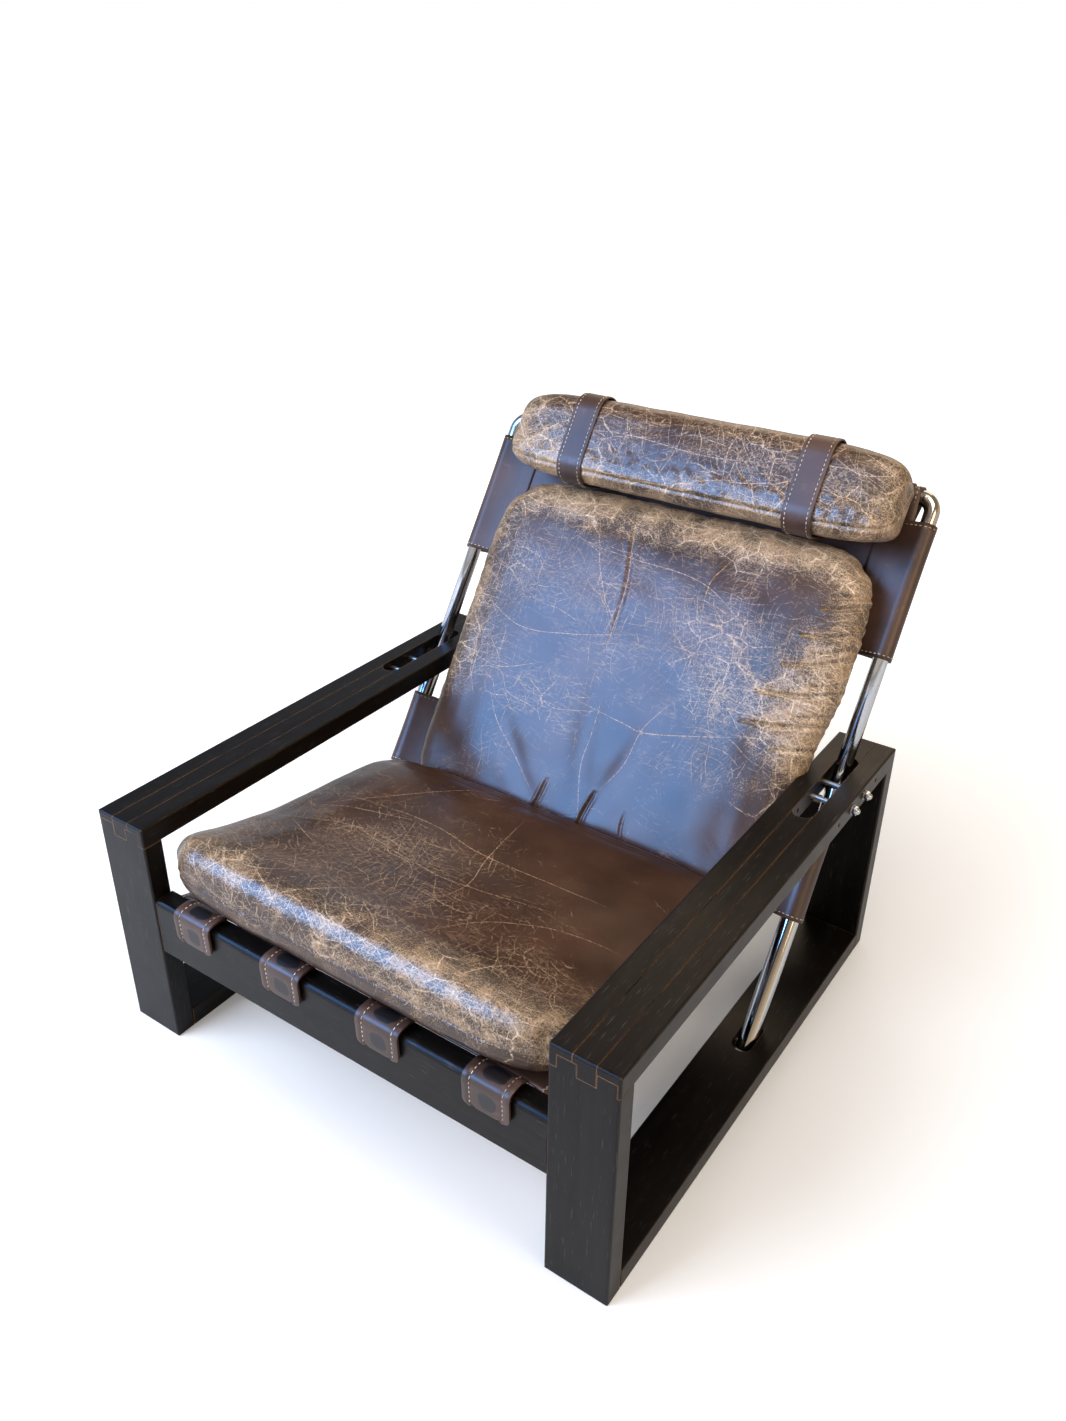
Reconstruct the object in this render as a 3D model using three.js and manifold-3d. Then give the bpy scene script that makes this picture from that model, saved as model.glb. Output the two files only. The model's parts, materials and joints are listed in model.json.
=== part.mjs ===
// Reclining lounge chair: two closed side frames of black laths, two rails, a chromed tube
// back held by cross bolts in slotted arms, a leather sling and three loose leather cushions.
// Lengths are in millimetres, +Z is up, the sitter faces -Y, and "right" is +X.
import * as THREE from 'three';
import { mergeVertices } from 'three/addons/utils/BufferGeometryUtils.js';
import Module from 'manifold-3d';

const wasm = await Module();
wasm.setup();

// Side frames
const chair_width = 900;
const chair_depth = 860;
const arm_height = 400;
const lath_width = 32.5;
const laths_per_arm = 3;
const board_thickness = 33;
const board_floor_gap = 1;
const edge_radius = 3.5;
const under_edge_radius = 1.5;
const seam_bevel = 0.6;
const foot_bevel = 2;

// Finger joint between an arm and its posts, and tenon between a post and the bottom board
const finger_width_share = 0.277;
const finger_margin_share = 0.123;
const finger_pitch_share = 0.554;
const finger_height = 20;
const fingers_per_joint = 2;
const tenon_width = 60;
const tenon_thickness = 13;
const tenon_length = 20;

// Cross rails and their dowels
const rail_height = 96;
const rail_bottom = 176;
const rail_thickness = 33;
const rail_setback = 2;
const rail_round = 8;
const dowel_diameter = 10;
const dowel_depth = 28;
const dowel_spacing = 52;
const dowels_per_joint = 2;

// Slot and cross holes of the arms, and the bolts that are put through them
const slot_play = 3.5;
const slot_front_margin = 38;
const slot_rear_margin = 17;
const hole_pitch = 50;
const holes_per_arm = 4;
const stop_hole_index = 2;
const stop_hole_rear_inset = 137.08;
const right_bolt_holes = [2, 3];
const left_bolt_holes = [1, 2];
const bolt_diameter = 8;
const bolt_blind_depth = 20;
const bolt_stop_gap = 0.3;
const washer_diameter = 16;
const washer_thickness = 1.6;
const nut_across_flats = 13;
const nut_height = 6.5;
const nut_bevel = 0.8;
const nut_dome_radius = 5.6;
const nut_bore_depth = 8.5;
const nut_bore_relief = 0.5;

// Back frame
const recline_deg = 34.2;
const crossbar_reach = 907;
const hoop_bend_radius = 24;
const upper_tube_diameter = 25;
const tube_wall = 2;
const lower_tube_wall = 2.2;
const telescope_depth = 80;
const junction_below_bolt = 8;
const tube_below_pivot = 7;
const foot_plug_depth = 20;
const foot_plug_flange = 2;
const foot_hole_play = 3;
const foot_hole_reach = 35;
const pivot_pin_diameter = 10;
const pivot_pin_recess = 2;
const pivot_pin_bite = 14;
const corner_screw_head_diameter = 10;
const corner_screw_head_height = 3.5;
const corner_screw_shank_diameter = 4;
const corner_screw_shank_length = 9;
const corner_screw_turn_deg = 25;

// Leather slings and their straps
const sling_thickness = 3;
const sleeve_thickness = 2.8;
const sleeve_seam_run = 38;
const top_sleeve_thickness = 5;
const top_sleeve_inset = 35.25;
const back_sling_inset = 61.25;
const sling_join_reach = 200;
const sling_join_gap = 2;
const lower_sleeve_step = 9;
const lower_sleeve_arm_gap = 74.6;
const upper_sleeve_length = 224;
const upper_sleeve_crossbar_gap = 42;
const seat_sling_side_gap = 20.5;
const seat_sling_front_gap = 2;
const seat_line_lift = 14;
const seat_dip = 13.9;
const seat_line_run_shares = [0, 0.19, 0.38, 0.6, 0.77, 0.88, 0.96];
const seat_line_drop_shares = [0, 0.28, 0.54, 0.77, 0.93, 1, 0.98];
const rail_strap_width = 72;
const rail_strap_end_margin = 87;
const rail_strap_count = 4;
const rail_strap_rise = 12;
const rail_strap_stand = 8;
const rail_strap_drop = 41;
const rail_strap_round = 6;
const rail_strap_corner = 9;
const head_strap_width = 50;
const head_strap_thickness = 3;
const head_strap_end_margin = 155.5;

// Seat cushion
const seat_cushion_side_gap = 4.5;
const seat_cushion_front = 4;
const seat_cushion_rear_margin = 94;
const seat_cushion_middle = 100;
const seat_cushion_edge = 46;
const seat_cushion_swell = 8;
const seat_cushion_front_rise = 16;
const seat_cushion_rise_run = 130;
const seat_cushion_rest_gap = 0.6;

// Back cushion
const back_cushion_low_trim = 21;
const back_cushion_top_trim = 3;
const back_cushion_low_shift = 8;
const back_cushion_top_shift = 15;
const back_cushion_foot_drop = 34;
const back_cushion_crossbar_gap = 121;
const back_cushion_middle = 84;
const back_cushion_edge = 40;
const back_cushion_swell = 9;
const back_cushion_foot_lean = 0.5;
const back_cushion_top_lean = 0.35;
const back_cushion_widen_drop = 32;
const back_cushion_widen_run = 130;
const back_cushion_rest_gap = 0.3;

// Head cushion
const head_cushion_trim = 67.5;
const head_cushion_shift = 22;
const head_cushion_front = 120;
const head_cushion_rise = 38;
const head_cushion_hang = 127;
const head_cushion_front_radius = 35;
const head_cushion_rear_radius = 20;
const head_cushion_rear_drop = 14;
const head_cushion_rear_lift = 14;
const head_cushion_end_share = 0.34;
const head_cushion_rest_gap = 0.5;

// Fits and facets
const fit_clearance = 0.3;
const cut_overrun = 5;
const weld_distance = 0.0001;
const round_steps = 20;
const small_round_steps = 12;
const arc_steps = 2;
const bend_steps = 5;
const sling_steps = 22;
const cushion_steps_across = 16;
const cushion_steps_along = 14;
const cushion_steps_through = 4;
const head_stations = 18;
const corner_pull_share = 0.1;

// Places worked out from the sizes above
const arm_width = lath_width * laths_per_arm;
const outer_x = chair_width / 2;
const inner_x = outer_x - arm_width;
const centre_x = outer_x - arm_width / 2;
const finger_width = finger_width_share * arm_width;
const arm_underside = arm_height - board_thickness;
const bolt_height = arm_height - board_thickness / 2;
const rail_top = rail_bottom + rail_height;
const rail_rear = rail_setback + rail_thickness;
const recline = THREE.MathUtils.degToRad(recline_deg);
const pivot_height = board_floor_gap + board_thickness / 2;
const upper_radius = upper_tube_diameter / 2;
const lower_bore_radius = upper_radius + fit_clearance;
const lower_radius = lower_bore_radius + lower_tube_wall;
const slot_width = 2 * lower_radius + slot_play;
const foot_hole_width = 2 * lower_radius + foot_hole_play;
const bolt_radius = bolt_diameter / 2;
const washer_face = outer_x + washer_thickness;
const crossbar_circle_radius = upper_radius + fit_clearance + top_sleeve_thickness;

// The stop bolt touches the front of the reclined tube; the other holes follow at their pitch.
const stop_rise = bolt_height - pivot_height;
const stop_offset = upper_radius + bolt_radius + bolt_stop_gap;
const stop_run = (stop_rise * Math.sin(recline) - stop_offset) / Math.cos(recline);
const stop_reach = stop_run * Math.sin(recline) + stop_rise * Math.cos(recline);
const junction_reach = stop_reach - junction_below_bolt;
const stop_depth = chair_depth - stop_hole_rear_inset;
const pivot_depth = stop_depth - stop_run;
const first_hole_depth = stop_depth - stop_hole_index * hole_pitch;
const last_hole_depth = first_hole_depth + (holes_per_arm - 1) * hole_pitch;
const slot_front = first_hole_depth - slot_front_margin;
const slot_rear = last_hole_depth + slot_rear_margin;

// How far up the tubes, from the pivot, the leatherwork and the cushions begin and end
const arm_top_reach = (arm_height - pivot_height) / Math.cos(recline);
const arm_underside_reach = (arm_underside - pivot_height) / Math.cos(recline);
const lower_sleeve_start = sling_join_reach + lower_sleeve_step;
const lower_sleeve_end = arm_underside_reach - lower_sleeve_arm_gap;
const upper_sleeve_end = crossbar_reach - upper_sleeve_crossbar_gap;
const upper_sleeve_start = upper_sleeve_end - upper_sleeve_length;
const back_cushion_start = sling_join_reach - back_cushion_foot_drop;
const back_cushion_end = crossbar_reach - back_cushion_crossbar_gap;
const widen_start = arm_top_reach - back_cushion_widen_drop;
const head_cushion_top = crossbar_reach + head_cushion_rise;
const head_cushion_bottom = crossbar_reach - head_cushion_hang;

// Half widths of the leatherwork and the cushions
const top_sleeve_half_width = centre_x - top_sleeve_inset;
const back_sling_half_width = centre_x - back_sling_inset;
const seat_sling_half_width = inner_x - seat_sling_side_gap;
const seat_cushion_half_width = inner_x - seat_cushion_side_gap;
const back_cushion_low_half_width = inner_x - back_cushion_low_trim / 2;
const back_cushion_top_half_width = inner_x - back_cushion_top_trim / 2;
const head_cushion_half_length = centre_x - head_cushion_trim / 2;

const materials = {
  black_wood: new THREE.MeshStandardMaterial({ color: '#211c1a', roughness: 0.45 }),
  dowel_wood: new THREE.MeshStandardMaterial({ color: '#b58a56', roughness: 0.7 }),
  chrome: new THREE.MeshStandardMaterial({ color: '#c9cccf', roughness: 0.12, metalness: 1 }),
  steel: new THREE.MeshStandardMaterial({ color: '#8d9093', roughness: 0.35, metalness: 1 }),
  plug_plastic: new THREE.MeshStandardMaterial({ color: '#1a1a1b', roughness: 0.6 }),
  sling_leather: new THREE.MeshStandardMaterial({ color: '#3b2a24', roughness: 0.5 }),
  cushion_leather: new THREE.MeshStandardMaterial({ color: '#4a3325', roughness: 0.4 }),
};

// A closed geometry as a solid that can be joined and cut.
function toSolid(geometry) {
  const bare = geometry.clone();
  bare.deleteAttribute('normal');
  bare.deleteAttribute('uv');
  const merged = mergeVertices(bare, weld_distance);
  return new wasm.Manifold(new wasm.Mesh({
    numProp: 3,
    vertProperties: new Float32Array(merged.attributes.position.array),
    triVerts: new Uint32Array(merged.index.array),
  }));
}

// A solid's triangles as a geometry.
function toGeometry(solid) {
  const mesh = solid.getMesh();
  const geometry = new THREE.BufferGeometry();
  geometry.setAttribute('position', new THREE.BufferAttribute(mesh.vertProperties, 3));
  geometry.setIndex(new THREE.BufferAttribute(mesh.triVerts, 1));
  geometry.computeVertexNormals();
  return geometry;
}

// The mirror image of a geometry across the middle plane of the chair.
function mirrored(geometry) {
  const copy = geometry.clone();
  copy.scale(-1, 1, 1);
  const index = copy.index.array;
  for (let corner = 0; corner < index.length; corner += 3) {
    [index[corner], index[corner + 1]] = [index[corner + 1], index[corner]];
  }
  copy.computeVertexNormals();
  return copy;
}

// A shape drawn in (y, z), drawn out along X.
function prismX(shape, from, to, steps = arc_steps) {
  const geometry = new THREE.ExtrudeGeometry(shape, {
    depth: to - from, bevelEnabled: false, curveSegments: steps,
  });
  const [right, back, up] = [0, 1, 2].map((axis) => new THREE.Vector3().setComponent(axis, 1));
  geometry.applyMatrix4(new THREE.Matrix4().makeBasis(back, up, right));
  return toSolid(geometry.translate(from, 0, 0));
}

// A shape drawn in (x, z), drawn out along Y.
function prismY(shape, from, to, steps = arc_steps) {
  const geometry = new THREE.ExtrudeGeometry(shape, {
    depth: to - from, bevelEnabled: false, curveSegments: steps,
  });
  return toSolid(geometry.rotateX(Math.PI / 2).translate(0, to, 0));
}

// A shape drawn in (x, y), drawn out along Z.
function prismZ(shape, from, to, steps = arc_steps) {
  const geometry = new THREE.ExtrudeGeometry(shape, {
    depth: to - from, bevelEnabled: false, curveSegments: steps,
  });
  return toSolid(geometry.translate(0, 0, from));
}

// A rectangle with a rounding radius for each corner, from the lower left one anticlockwise.
function roundedRectangle(left, right, low, high, radii) {
  const [lower_left, lower_right, upper_right, upper_left] = radii;
  const quarter = Math.PI / 2;
  const shape = new THREE.Shape();
  const corner = (x, y, radius, turn, x_side, y_side) => {
    if (radius === 0) {
      shape.lineTo(x, y);
    } else {
      const start = turn * quarter;
      shape.absarc(x + x_side * radius, y + y_side * radius, radius, start, start + quarter);
    }
  };
  shape.moveTo(left, low + lower_left);
  corner(left, low, lower_left, 2, 1, 1);
  corner(right, low, lower_right, 3, -1, 1);
  corner(right, high, upper_right, 0, -1, -1);
  corner(left, high, upper_left, 1, 1, -1);
  shape.closePath();
  return shape;
}

// A rectangle with straight bevels on its low and high corners.
function bevelledRectangle(left, right, low, high, low_bevel, high_bevel) {
  return new THREE.Shape([
    new THREE.Vector2(left + low_bevel, low),
    new THREE.Vector2(right - low_bevel, low),
    new THREE.Vector2(right, low + low_bevel),
    new THREE.Vector2(right, high - high_bevel),
    new THREE.Vector2(right - high_bevel, high),
    new THREE.Vector2(left + high_bevel, high),
    new THREE.Vector2(left, high - high_bevel),
    new THREE.Vector2(left, low + low_bevel),
  ]);
}

// A plain block.
function block(left, right, front, rear, low, high) {
  const geometry = new THREE.BoxGeometry(right - left, rear - front, high - low);
  geometry.translate((left + right) / 2, (front + rear) / 2, (low + high) / 2);
  return toSolid(geometry);
}

// A round rod along X.
function rodX(radius, from, to, y, z, steps = small_round_steps) {
  const geometry = new THREE.CylinderGeometry(radius, radius, to - from, steps);
  return toSolid(geometry.rotateZ(Math.PI / 2).translate((from + to) / 2, y, z));
}

// A round disc or ring as a shape around a point.
function ring(x, y, radius, bore = 0) {
  const shape = new THREE.Shape();
  shape.absarc(x, y, radius, 0, 2 * Math.PI);
  if (bore > 0) {
    const hole = new THREE.Path();
    hole.absarc(x, y, bore, 0, 2 * Math.PI, true);
    shape.holes.push(hole);
  }
  return shape;
}

// A slot with half-round ends, running along Y.
function stadium(x, front, rear, width) {
  const radius = width / 2;
  const shape = new THREE.Shape();
  shape.absarc(x, rear - radius, radius, 0, Math.PI);
  shape.absarc(x, front + radius, radius, Math.PI, 2 * Math.PI);
  shape.closePath();
  return shape;
}

// The outline of a belt drawn tight round circles [y, z, radius], listed anticlockwise.
function beltOutline(circles, offset, Outline = THREE.Shape) {
  const tangent_angle = (index) => {
    const [y0, z0, r0] = circles[index % circles.length];
    const [y1, z1, r1] = circles[(index + 1) % circles.length];
    const distance = Math.hypot(y1 - y0, z1 - z0);
    return Math.atan2(z1 - z0, y1 - y0) - Math.acos((r0 - r1) / distance);
  };
  const outline = new Outline();
  circles.forEach(([y, z, radius], index) => {
    const start = tangent_angle(index + circles.length - 1);
    let end = tangent_angle(index);
    while (end < start) {
      end += 2 * Math.PI;
    }
    outline.absarc(y, z, radius + offset, start, end);
  });
  outline.closePath();
  return outline;
}

// The depth of one cross hole of an arm, counted from 1 at the front.
function holeDepth(number) {
  return first_hole_depth + (number - 1) * hole_pitch;
}

const chair = new THREE.Group();
const back = new THREE.Group();
back.position.set(0, pivot_depth, pivot_height);
back.rotation.x = -recline;
chair.add(back);

function addMesh(parent, name, geometry, material) {
  const mesh = new THREE.Mesh(geometry, material);
  mesh.name = name;
  parent.add(mesh);
}

// A piece of the right side and its mirror image on the left.
function addPair(parent, name, solid, material) {
  const geometry = toGeometry(solid);
  addMesh(parent, `right_${name}`, geometry, material);
  addMesh(parent, `left_${name}`, mirrored(geometry), material);
}

// Side frames

// The fingers of one post from `low` up into the arm, or the sockets that take them.
function fingers(front, rear, low, clearance) {
  let solid = null;
  for (let count = 0; count < fingers_per_joint; count += 1) {
    const left = inner_x + (finger_margin_share + count * finger_pitch_share) * arm_width;
    const finger = block(
      left - clearance, left + finger_width + clearance, front - clearance, rear + clearance,
      low, arm_underside + finger_height + clearance,
    );
    solid = solid ? solid.add(finger) : finger;
  }
  return solid;
}

// The arm as one board, with its rounded edges, slot, finger sockets and cross holes.
function armBoard() {
  const long_edges = [under_edge_radius, under_edge_radius, edge_radius, edge_radius];
  const plan_edges = [edge_radius, edge_radius, edge_radius, edge_radius];
  const section = roundedRectangle(inner_x, outer_x, arm_underside, arm_height, long_edges);
  const plan = roundedRectangle(inner_x, outer_x, 0, chair_depth, plan_edges);
  const end_edges = [0, 0, edge_radius, edge_radius];
  const side = roundedRectangle(0, chair_depth, arm_underside, arm_height, end_edges);
  let board = prismY(section, 0, chair_depth)
    .intersect(prismZ(plan, arm_underside, arm_height))
    .intersect(prismX(side, inner_x, outer_x));
  const slot = stadium(centre_x, slot_front, slot_rear, slot_width);
  const low = arm_underside - cut_overrun;
  const high = arm_height + cut_overrun;
  board = board.subtract(prismZ(slot, low, high, small_round_steps / 2));
  const rear_post_front = chair_depth - board_thickness;
  board = board.subtract(fingers(-cut_overrun, board_thickness, low, fit_clearance));
  board = board.subtract(fingers(rear_post_front, chair_depth + cut_overrun, low, fit_clearance));
  const hole_floor = inner_x + lath_width - bolt_blind_depth;
  for (let number = 1; number <= holes_per_arm; number += 1) {
    board = board.subtract(rodX(
      bolt_radius + fit_clearance, hole_floor, outer_x + cut_overrun, holeDepth(number), bolt_height,
    ));
  }
  return board;
}

// The laths that the arm is glued up from; the slot parts the centre one in two.
function addArmLaths() {
  const board = armBoard();
  const lath = (number, front, rear) => {
    const left = inner_x + number * lath_width;
    const section = bevelledRectangle(
      left, left + lath_width, arm_underside, arm_height, seam_bevel, seam_bevel,
    );
    return board.intersect(prismY(section, front, rear));
  };
  const slot_middle = (slot_front + slot_rear) / 2;
  addPair(chair, 'arm_inner_lath', lath(0, 0, chair_depth), materials.black_wood);
  addPair(chair, 'arm_centre_lath_front', lath(1, 0, slot_middle), materials.black_wood);
  addPair(chair, 'arm_centre_lath_rear', lath(1, slot_middle, chair_depth), materials.black_wood);
  addPair(chair, 'arm_outer_lath', lath(2, 0, chair_depth), materials.black_wood);
}

// The dowels of one rail end as rods, or as the holes that take them.
function railDowels(depth, clearance) {
  const rods = [];
  for (let count = 0; count < dowels_per_joint; count += 1) {
    const rise = (count - (dowels_per_joint - 1) / 2) * dowel_spacing;
    const height = rail_bottom + rail_height / 2 + rise;
    rods.push(rodX(
      dowel_diameter / 2 + clearance, inner_x - dowel_depth - clearance,
      inner_x + dowel_depth + clearance, depth, height,
    ));
  }
  return rods;
}

// The tenon that joins the bottom board to a post, or the mortise that takes it.
function tenon(front, rear, clearance) {
  return block(
    centre_x - tenon_width / 2 - clearance, centre_x + tenon_width / 2 + clearance, front, rear,
    pivot_height - tenon_thickness / 2 - clearance, pivot_height + tenon_thickness / 2 + clearance,
  );
}

// A post standing from `front` to `rear`, with its fingers, mortise and dowel holes.
function post(front, rear, mortise_front, mortise_rear, dowel_line) {
  const edges = [edge_radius, edge_radius, edge_radius, edge_radius];
  const plan = roundedRectangle(inner_x, outer_x, front, rear, edges);
  const face = bevelledRectangle(inner_x, outer_x, 0, arm_underside, foot_bevel, 0);
  const side = bevelledRectangle(front, rear, 0, arm_underside, foot_bevel, 0);
  let solid = prismZ(plan, 0, arm_underside)
    .intersect(prismY(face, front, rear))
    .intersect(prismX(side, inner_x, outer_x));
  solid = solid.add(fingers(front, rear, arm_underside, 0));
  solid = solid.subtract(tenon(mortise_front, mortise_rear, fit_clearance));
  for (const hole of railDowels(dowel_line, fit_clearance)) {
    solid = solid.subtract(hole);
  }
  return solid;
}

function addPosts() {
  const front_socket = board_thickness - tenon_length - fit_clearance;
  const rear_post_front = chair_depth - board_thickness;
  const rear_socket = rear_post_front + tenon_length + fit_clearance;
  const front_line = rail_setback + rail_thickness / 2;
  const front_post = post(0, board_thickness, front_socket, board_thickness + cut_overrun, front_line);
  const rear_post = post(
    rear_post_front, chair_depth, rear_post_front - cut_overrun, rear_socket, chair_depth - front_line,
  );
  addPair(chair, 'front_post', front_post, materials.black_wood);
  addPair(chair, 'rear_post', rear_post, materials.black_wood);
}

// The board along the floor, with the long hole that the tube's foot stands in.
function addBottomBoards() {
  const low = board_floor_gap;
  const high = board_floor_gap + board_thickness;
  const edges = [under_edge_radius, under_edge_radius, under_edge_radius, under_edge_radius];
  const section = roundedRectangle(inner_x, outer_x, low, high, edges);
  const front = board_thickness;
  const rear = chair_depth - board_thickness;
  let board = prismY(section, front, rear);
  board = board.add(tenon(front - tenon_length, rear + tenon_length, 0));
  const hole = stadium(
    centre_x, pivot_depth - foot_hole_reach, pivot_depth + foot_hole_reach, foot_hole_width,
  );
  board = board.subtract(prismZ(hole, low - cut_overrun, high + cut_overrun, small_round_steps / 2));
  const bore_end = pivotPinEnd() + fit_clearance;
  board = board.subtract(rodX(
    pivot_pin_diameter / 2 + fit_clearance, inner_x - cut_overrun, bore_end, pivot_depth, pivot_height,
  ));
  addPair(chair, 'bottom_board', board, materials.black_wood);
}

// A rail between the side frames; its rounded top edge looks outwards.
function rail(front, outward) {
  const radii = outward < 0 ? [under_edge_radius, under_edge_radius, under_edge_radius, rail_round]
    : [under_edge_radius, under_edge_radius, rail_round, under_edge_radius];
  const section = roundedRectangle(front, front + rail_thickness, rail_bottom, rail_top, radii);
  let solid = prismX(section, fit_clearance - inner_x, inner_x - fit_clearance);
  for (const hole of railDowels(front + rail_thickness / 2, fit_clearance)) {
    const left_hole = toSolid(mirrored(toGeometry(hole)));
    solid = solid.subtract(hole).subtract(left_hole);
  }
  return solid;
}

function addRails() {
  const rear_rail_front = chair_depth - rail_setback - rail_thickness;
  addMesh(chair, 'front_rail', toGeometry(rail(rail_setback, -1)), materials.black_wood);
  addMesh(chair, 'rear_rail', toGeometry(rail(rear_rail_front, 1)), materials.black_wood);
  const lines = {
    front_rail: rail_setback + rail_thickness / 2,
    rear_rail: rear_rail_front + rail_thickness / 2,
  };
  for (const [name, depth] of Object.entries(lines)) {
    railDowels(depth, 0).forEach((dowel, index) => {
      addPair(chair, `${name}_dowel_${index + 1}`, dowel, materials.dowel_wood);
    });
  }
}

// Adjusting bolts

// The bolt's plain rod, from the blind hole in the inner lath into its nut.
function boltRod(depth) {
  const start = inner_x + lath_width - bolt_blind_depth + fit_clearance;
  const end = washer_face + nut_bore_depth - nut_bore_relief;
  return rodX(bolt_radius, start, end, depth, bolt_height);
}

// A hexagonal nut with a domed cap, bored blind from the washer's side.
function capNut(depth) {
  const corner_radius = nut_across_flats / Math.sqrt(3);
  const start = washer_face + fit_clearance;
  const hexagon = rodX(corner_radius, start, start + nut_height, depth, bolt_height, 6);
  const profile = [
    new THREE.Vector2(0, 0),
    new THREE.Vector2(corner_radius - nut_bevel, 0),
    new THREE.Vector2(corner_radius, nut_bevel),
    new THREE.Vector2(corner_radius, nut_height - nut_bevel),
    new THREE.Vector2(corner_radius - nut_bevel, nut_height),
    new THREE.Vector2(0, nut_height),
  ];
  const envelope = new THREE.LatheGeometry(profile, small_round_steps).rotateZ(-Math.PI / 2);
  const dome = new THREE.SphereGeometry(nut_dome_radius, small_round_steps, small_round_steps / 2);
  const dome_centre = start + nut_height - nut_bevel;
  const bore = rodX(
    bolt_radius + fit_clearance, start - cut_overrun, washer_face + nut_bore_depth, depth, bolt_height,
  );
  return hexagon
    .intersect(toSolid(envelope.translate(start, depth, bolt_height)))
    .add(toSolid(dome.translate(dome_centre, depth, bolt_height)))
    .subtract(bore);
}

function washer(depth) {
  const shape = ring(depth, bolt_height, washer_diameter / 2, bolt_radius + fit_clearance);
  return prismX(shape, outer_x + fit_clearance, washer_face, small_round_steps / 2);
}

function addBolts() {
  const addBolt = (side, number, turn) => {
    const depth = holeDepth(number);
    const name = `${side}_bolt_${number}`;
    addMesh(chair, name, turn(toGeometry(boltRod(depth))), materials.steel);
    addMesh(chair, `${name}_cap_nut`, turn(toGeometry(capNut(depth))), materials.chrome);
    addMesh(chair, `${name}_washer`, turn(toGeometry(washer(depth))), materials.steel);
  };
  right_bolt_holes.forEach((number) => addBolt('right', number, (geometry) => geometry));
  left_bolt_holes.forEach((number) => addBolt('left', number, mirrored));
}

// Back frame, in its own frame: origin at the pivot, +Z up the tubes, -Y towards the sitter

// A path whose parameter counts stations, so a straight stretch takes one step however long it is.
class StationPath extends THREE.Curve {
  constructor(stations) {
    super();
    this.stations = stations;
  }

  getPoint(t, target = new THREE.Vector3()) {
    const last = this.stations.length - 1;
    const index = Math.min(Math.floor(t * last), last - 1);
    const [here, next] = [this.stations[index].point, this.stations[index + 1].point];
    return target.lerpVectors(here, next, t * last - index);
  }

  getPointAt(t, target) {
    return this.getPoint(t, target);
  }

  getTangentAt(t, target = new THREE.Vector3()) {
    const last = this.stations.length - 1;
    return target.copy(this.stations[Math.round(t * last)].tangent);
  }
}

// The end of the pivot pin, past the tube and in the outer part of the bottom board.
function pivotPinEnd() {
  return centre_x + foot_hole_width / 2 + pivot_pin_bite;
}

// The centre of one hoop bend, and the point on the bend at an angle from the crossbar.
function bendPoint(side, angle) {
  const bend_x = centre_x - hoop_bend_radius;
  const bend_z = crossbar_reach - hoop_bend_radius;
  const across = bend_x + hoop_bend_radius * Math.sin(angle);
  return new THREE.Vector3(side * across, 0, bend_z + hoop_bend_radius * Math.cos(angle));
}

// The hoop of the smaller tube: two legs that plug into the lower tubes, and the crossbar.
function hoop() {
  const stations = [];
  const foot = junction_reach - telescope_depth;
  const up = new THREE.Vector3(0, 0, 1);
  const down = new THREE.Vector3(0, 0, -1);
  stations.push({ point: new THREE.Vector3(-centre_x, 0, foot), tangent: up });
  for (let step = bend_steps; step >= 0; step -= 1) {
    const angle = (Math.PI / 2) * (step / bend_steps);
    const tangent = new THREE.Vector3(Math.cos(angle), 0, Math.sin(angle));
    stations.push({ point: bendPoint(-1, angle), tangent });
  }
  for (let step = 0; step <= bend_steps; step += 1) {
    const angle = (Math.PI / 2) * (step / bend_steps);
    const tangent = new THREE.Vector3(Math.cos(angle), 0, -Math.sin(angle));
    stations.push({ point: bendPoint(1, angle), tangent });
  }
  stations.push({ point: new THREE.Vector3(centre_x, 0, foot), tangent: down });
  const section = ring(0, 0, upper_radius, upper_radius - tube_wall);
  const geometry = new THREE.ExtrudeGeometry(section, {
    steps: stations.length - 1, extrudePath: new StationPath(stations), bevelEnabled: false,
    curveSegments: round_steps / 2,
  });
  let solid = toSolid(geometry);
  const screw_radius = corner_screw_shank_diameter / 2 + fit_clearance;
  for (const side of [-1, 1]) {
    const place = bendPoint(side, THREE.MathUtils.degToRad(corner_screw_turn_deg));
    const shape = ring(place.x, place.z, screw_radius);
    solid = solid.subtract(prismY(shape, -lower_radius, 0, small_round_steps / 2));
  }
  return solid;
}

function addBackFrame() {
  addMesh(back, 'back_hoop', toGeometry(hoop()), materials.chrome);

  const tube_section = ring(centre_x, 0, lower_radius, lower_bore_radius);
  const pin_radius = pivot_pin_diameter / 2;
  const pin_bore = rodX(pin_radius + fit_clearance, inner_x, outer_x, 0, 0);
  const tube = prismZ(tube_section, -tube_below_pivot, junction_reach, round_steps / 2);
  addPair(back, 'lower_tube', tube.subtract(pin_bore), materials.chrome);

  const flange_top = -tube_below_pivot - fit_clearance;
  const stem = ring(centre_x, 0, lower_bore_radius - fit_clearance);
  const flange = ring(centre_x, 0, lower_radius);
  const flange_low = flange_top - foot_plug_flange;
  const plug = prismZ(stem, flange_low, foot_plug_depth - tube_below_pivot, round_steps / 2)
    .add(prismZ(flange, flange_low, flange_top, round_steps / 2))
    .subtract(pin_bore);
  addPair(back, 'foot_plug', plug, materials.plug_plastic);

  const pin = rodX(pin_radius, inner_x + pivot_pin_recess, pivotPinEnd(), pivot_depth, pivot_height);
  addPair(chair, 'pivot_pin', pin, materials.steel);
}

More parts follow.
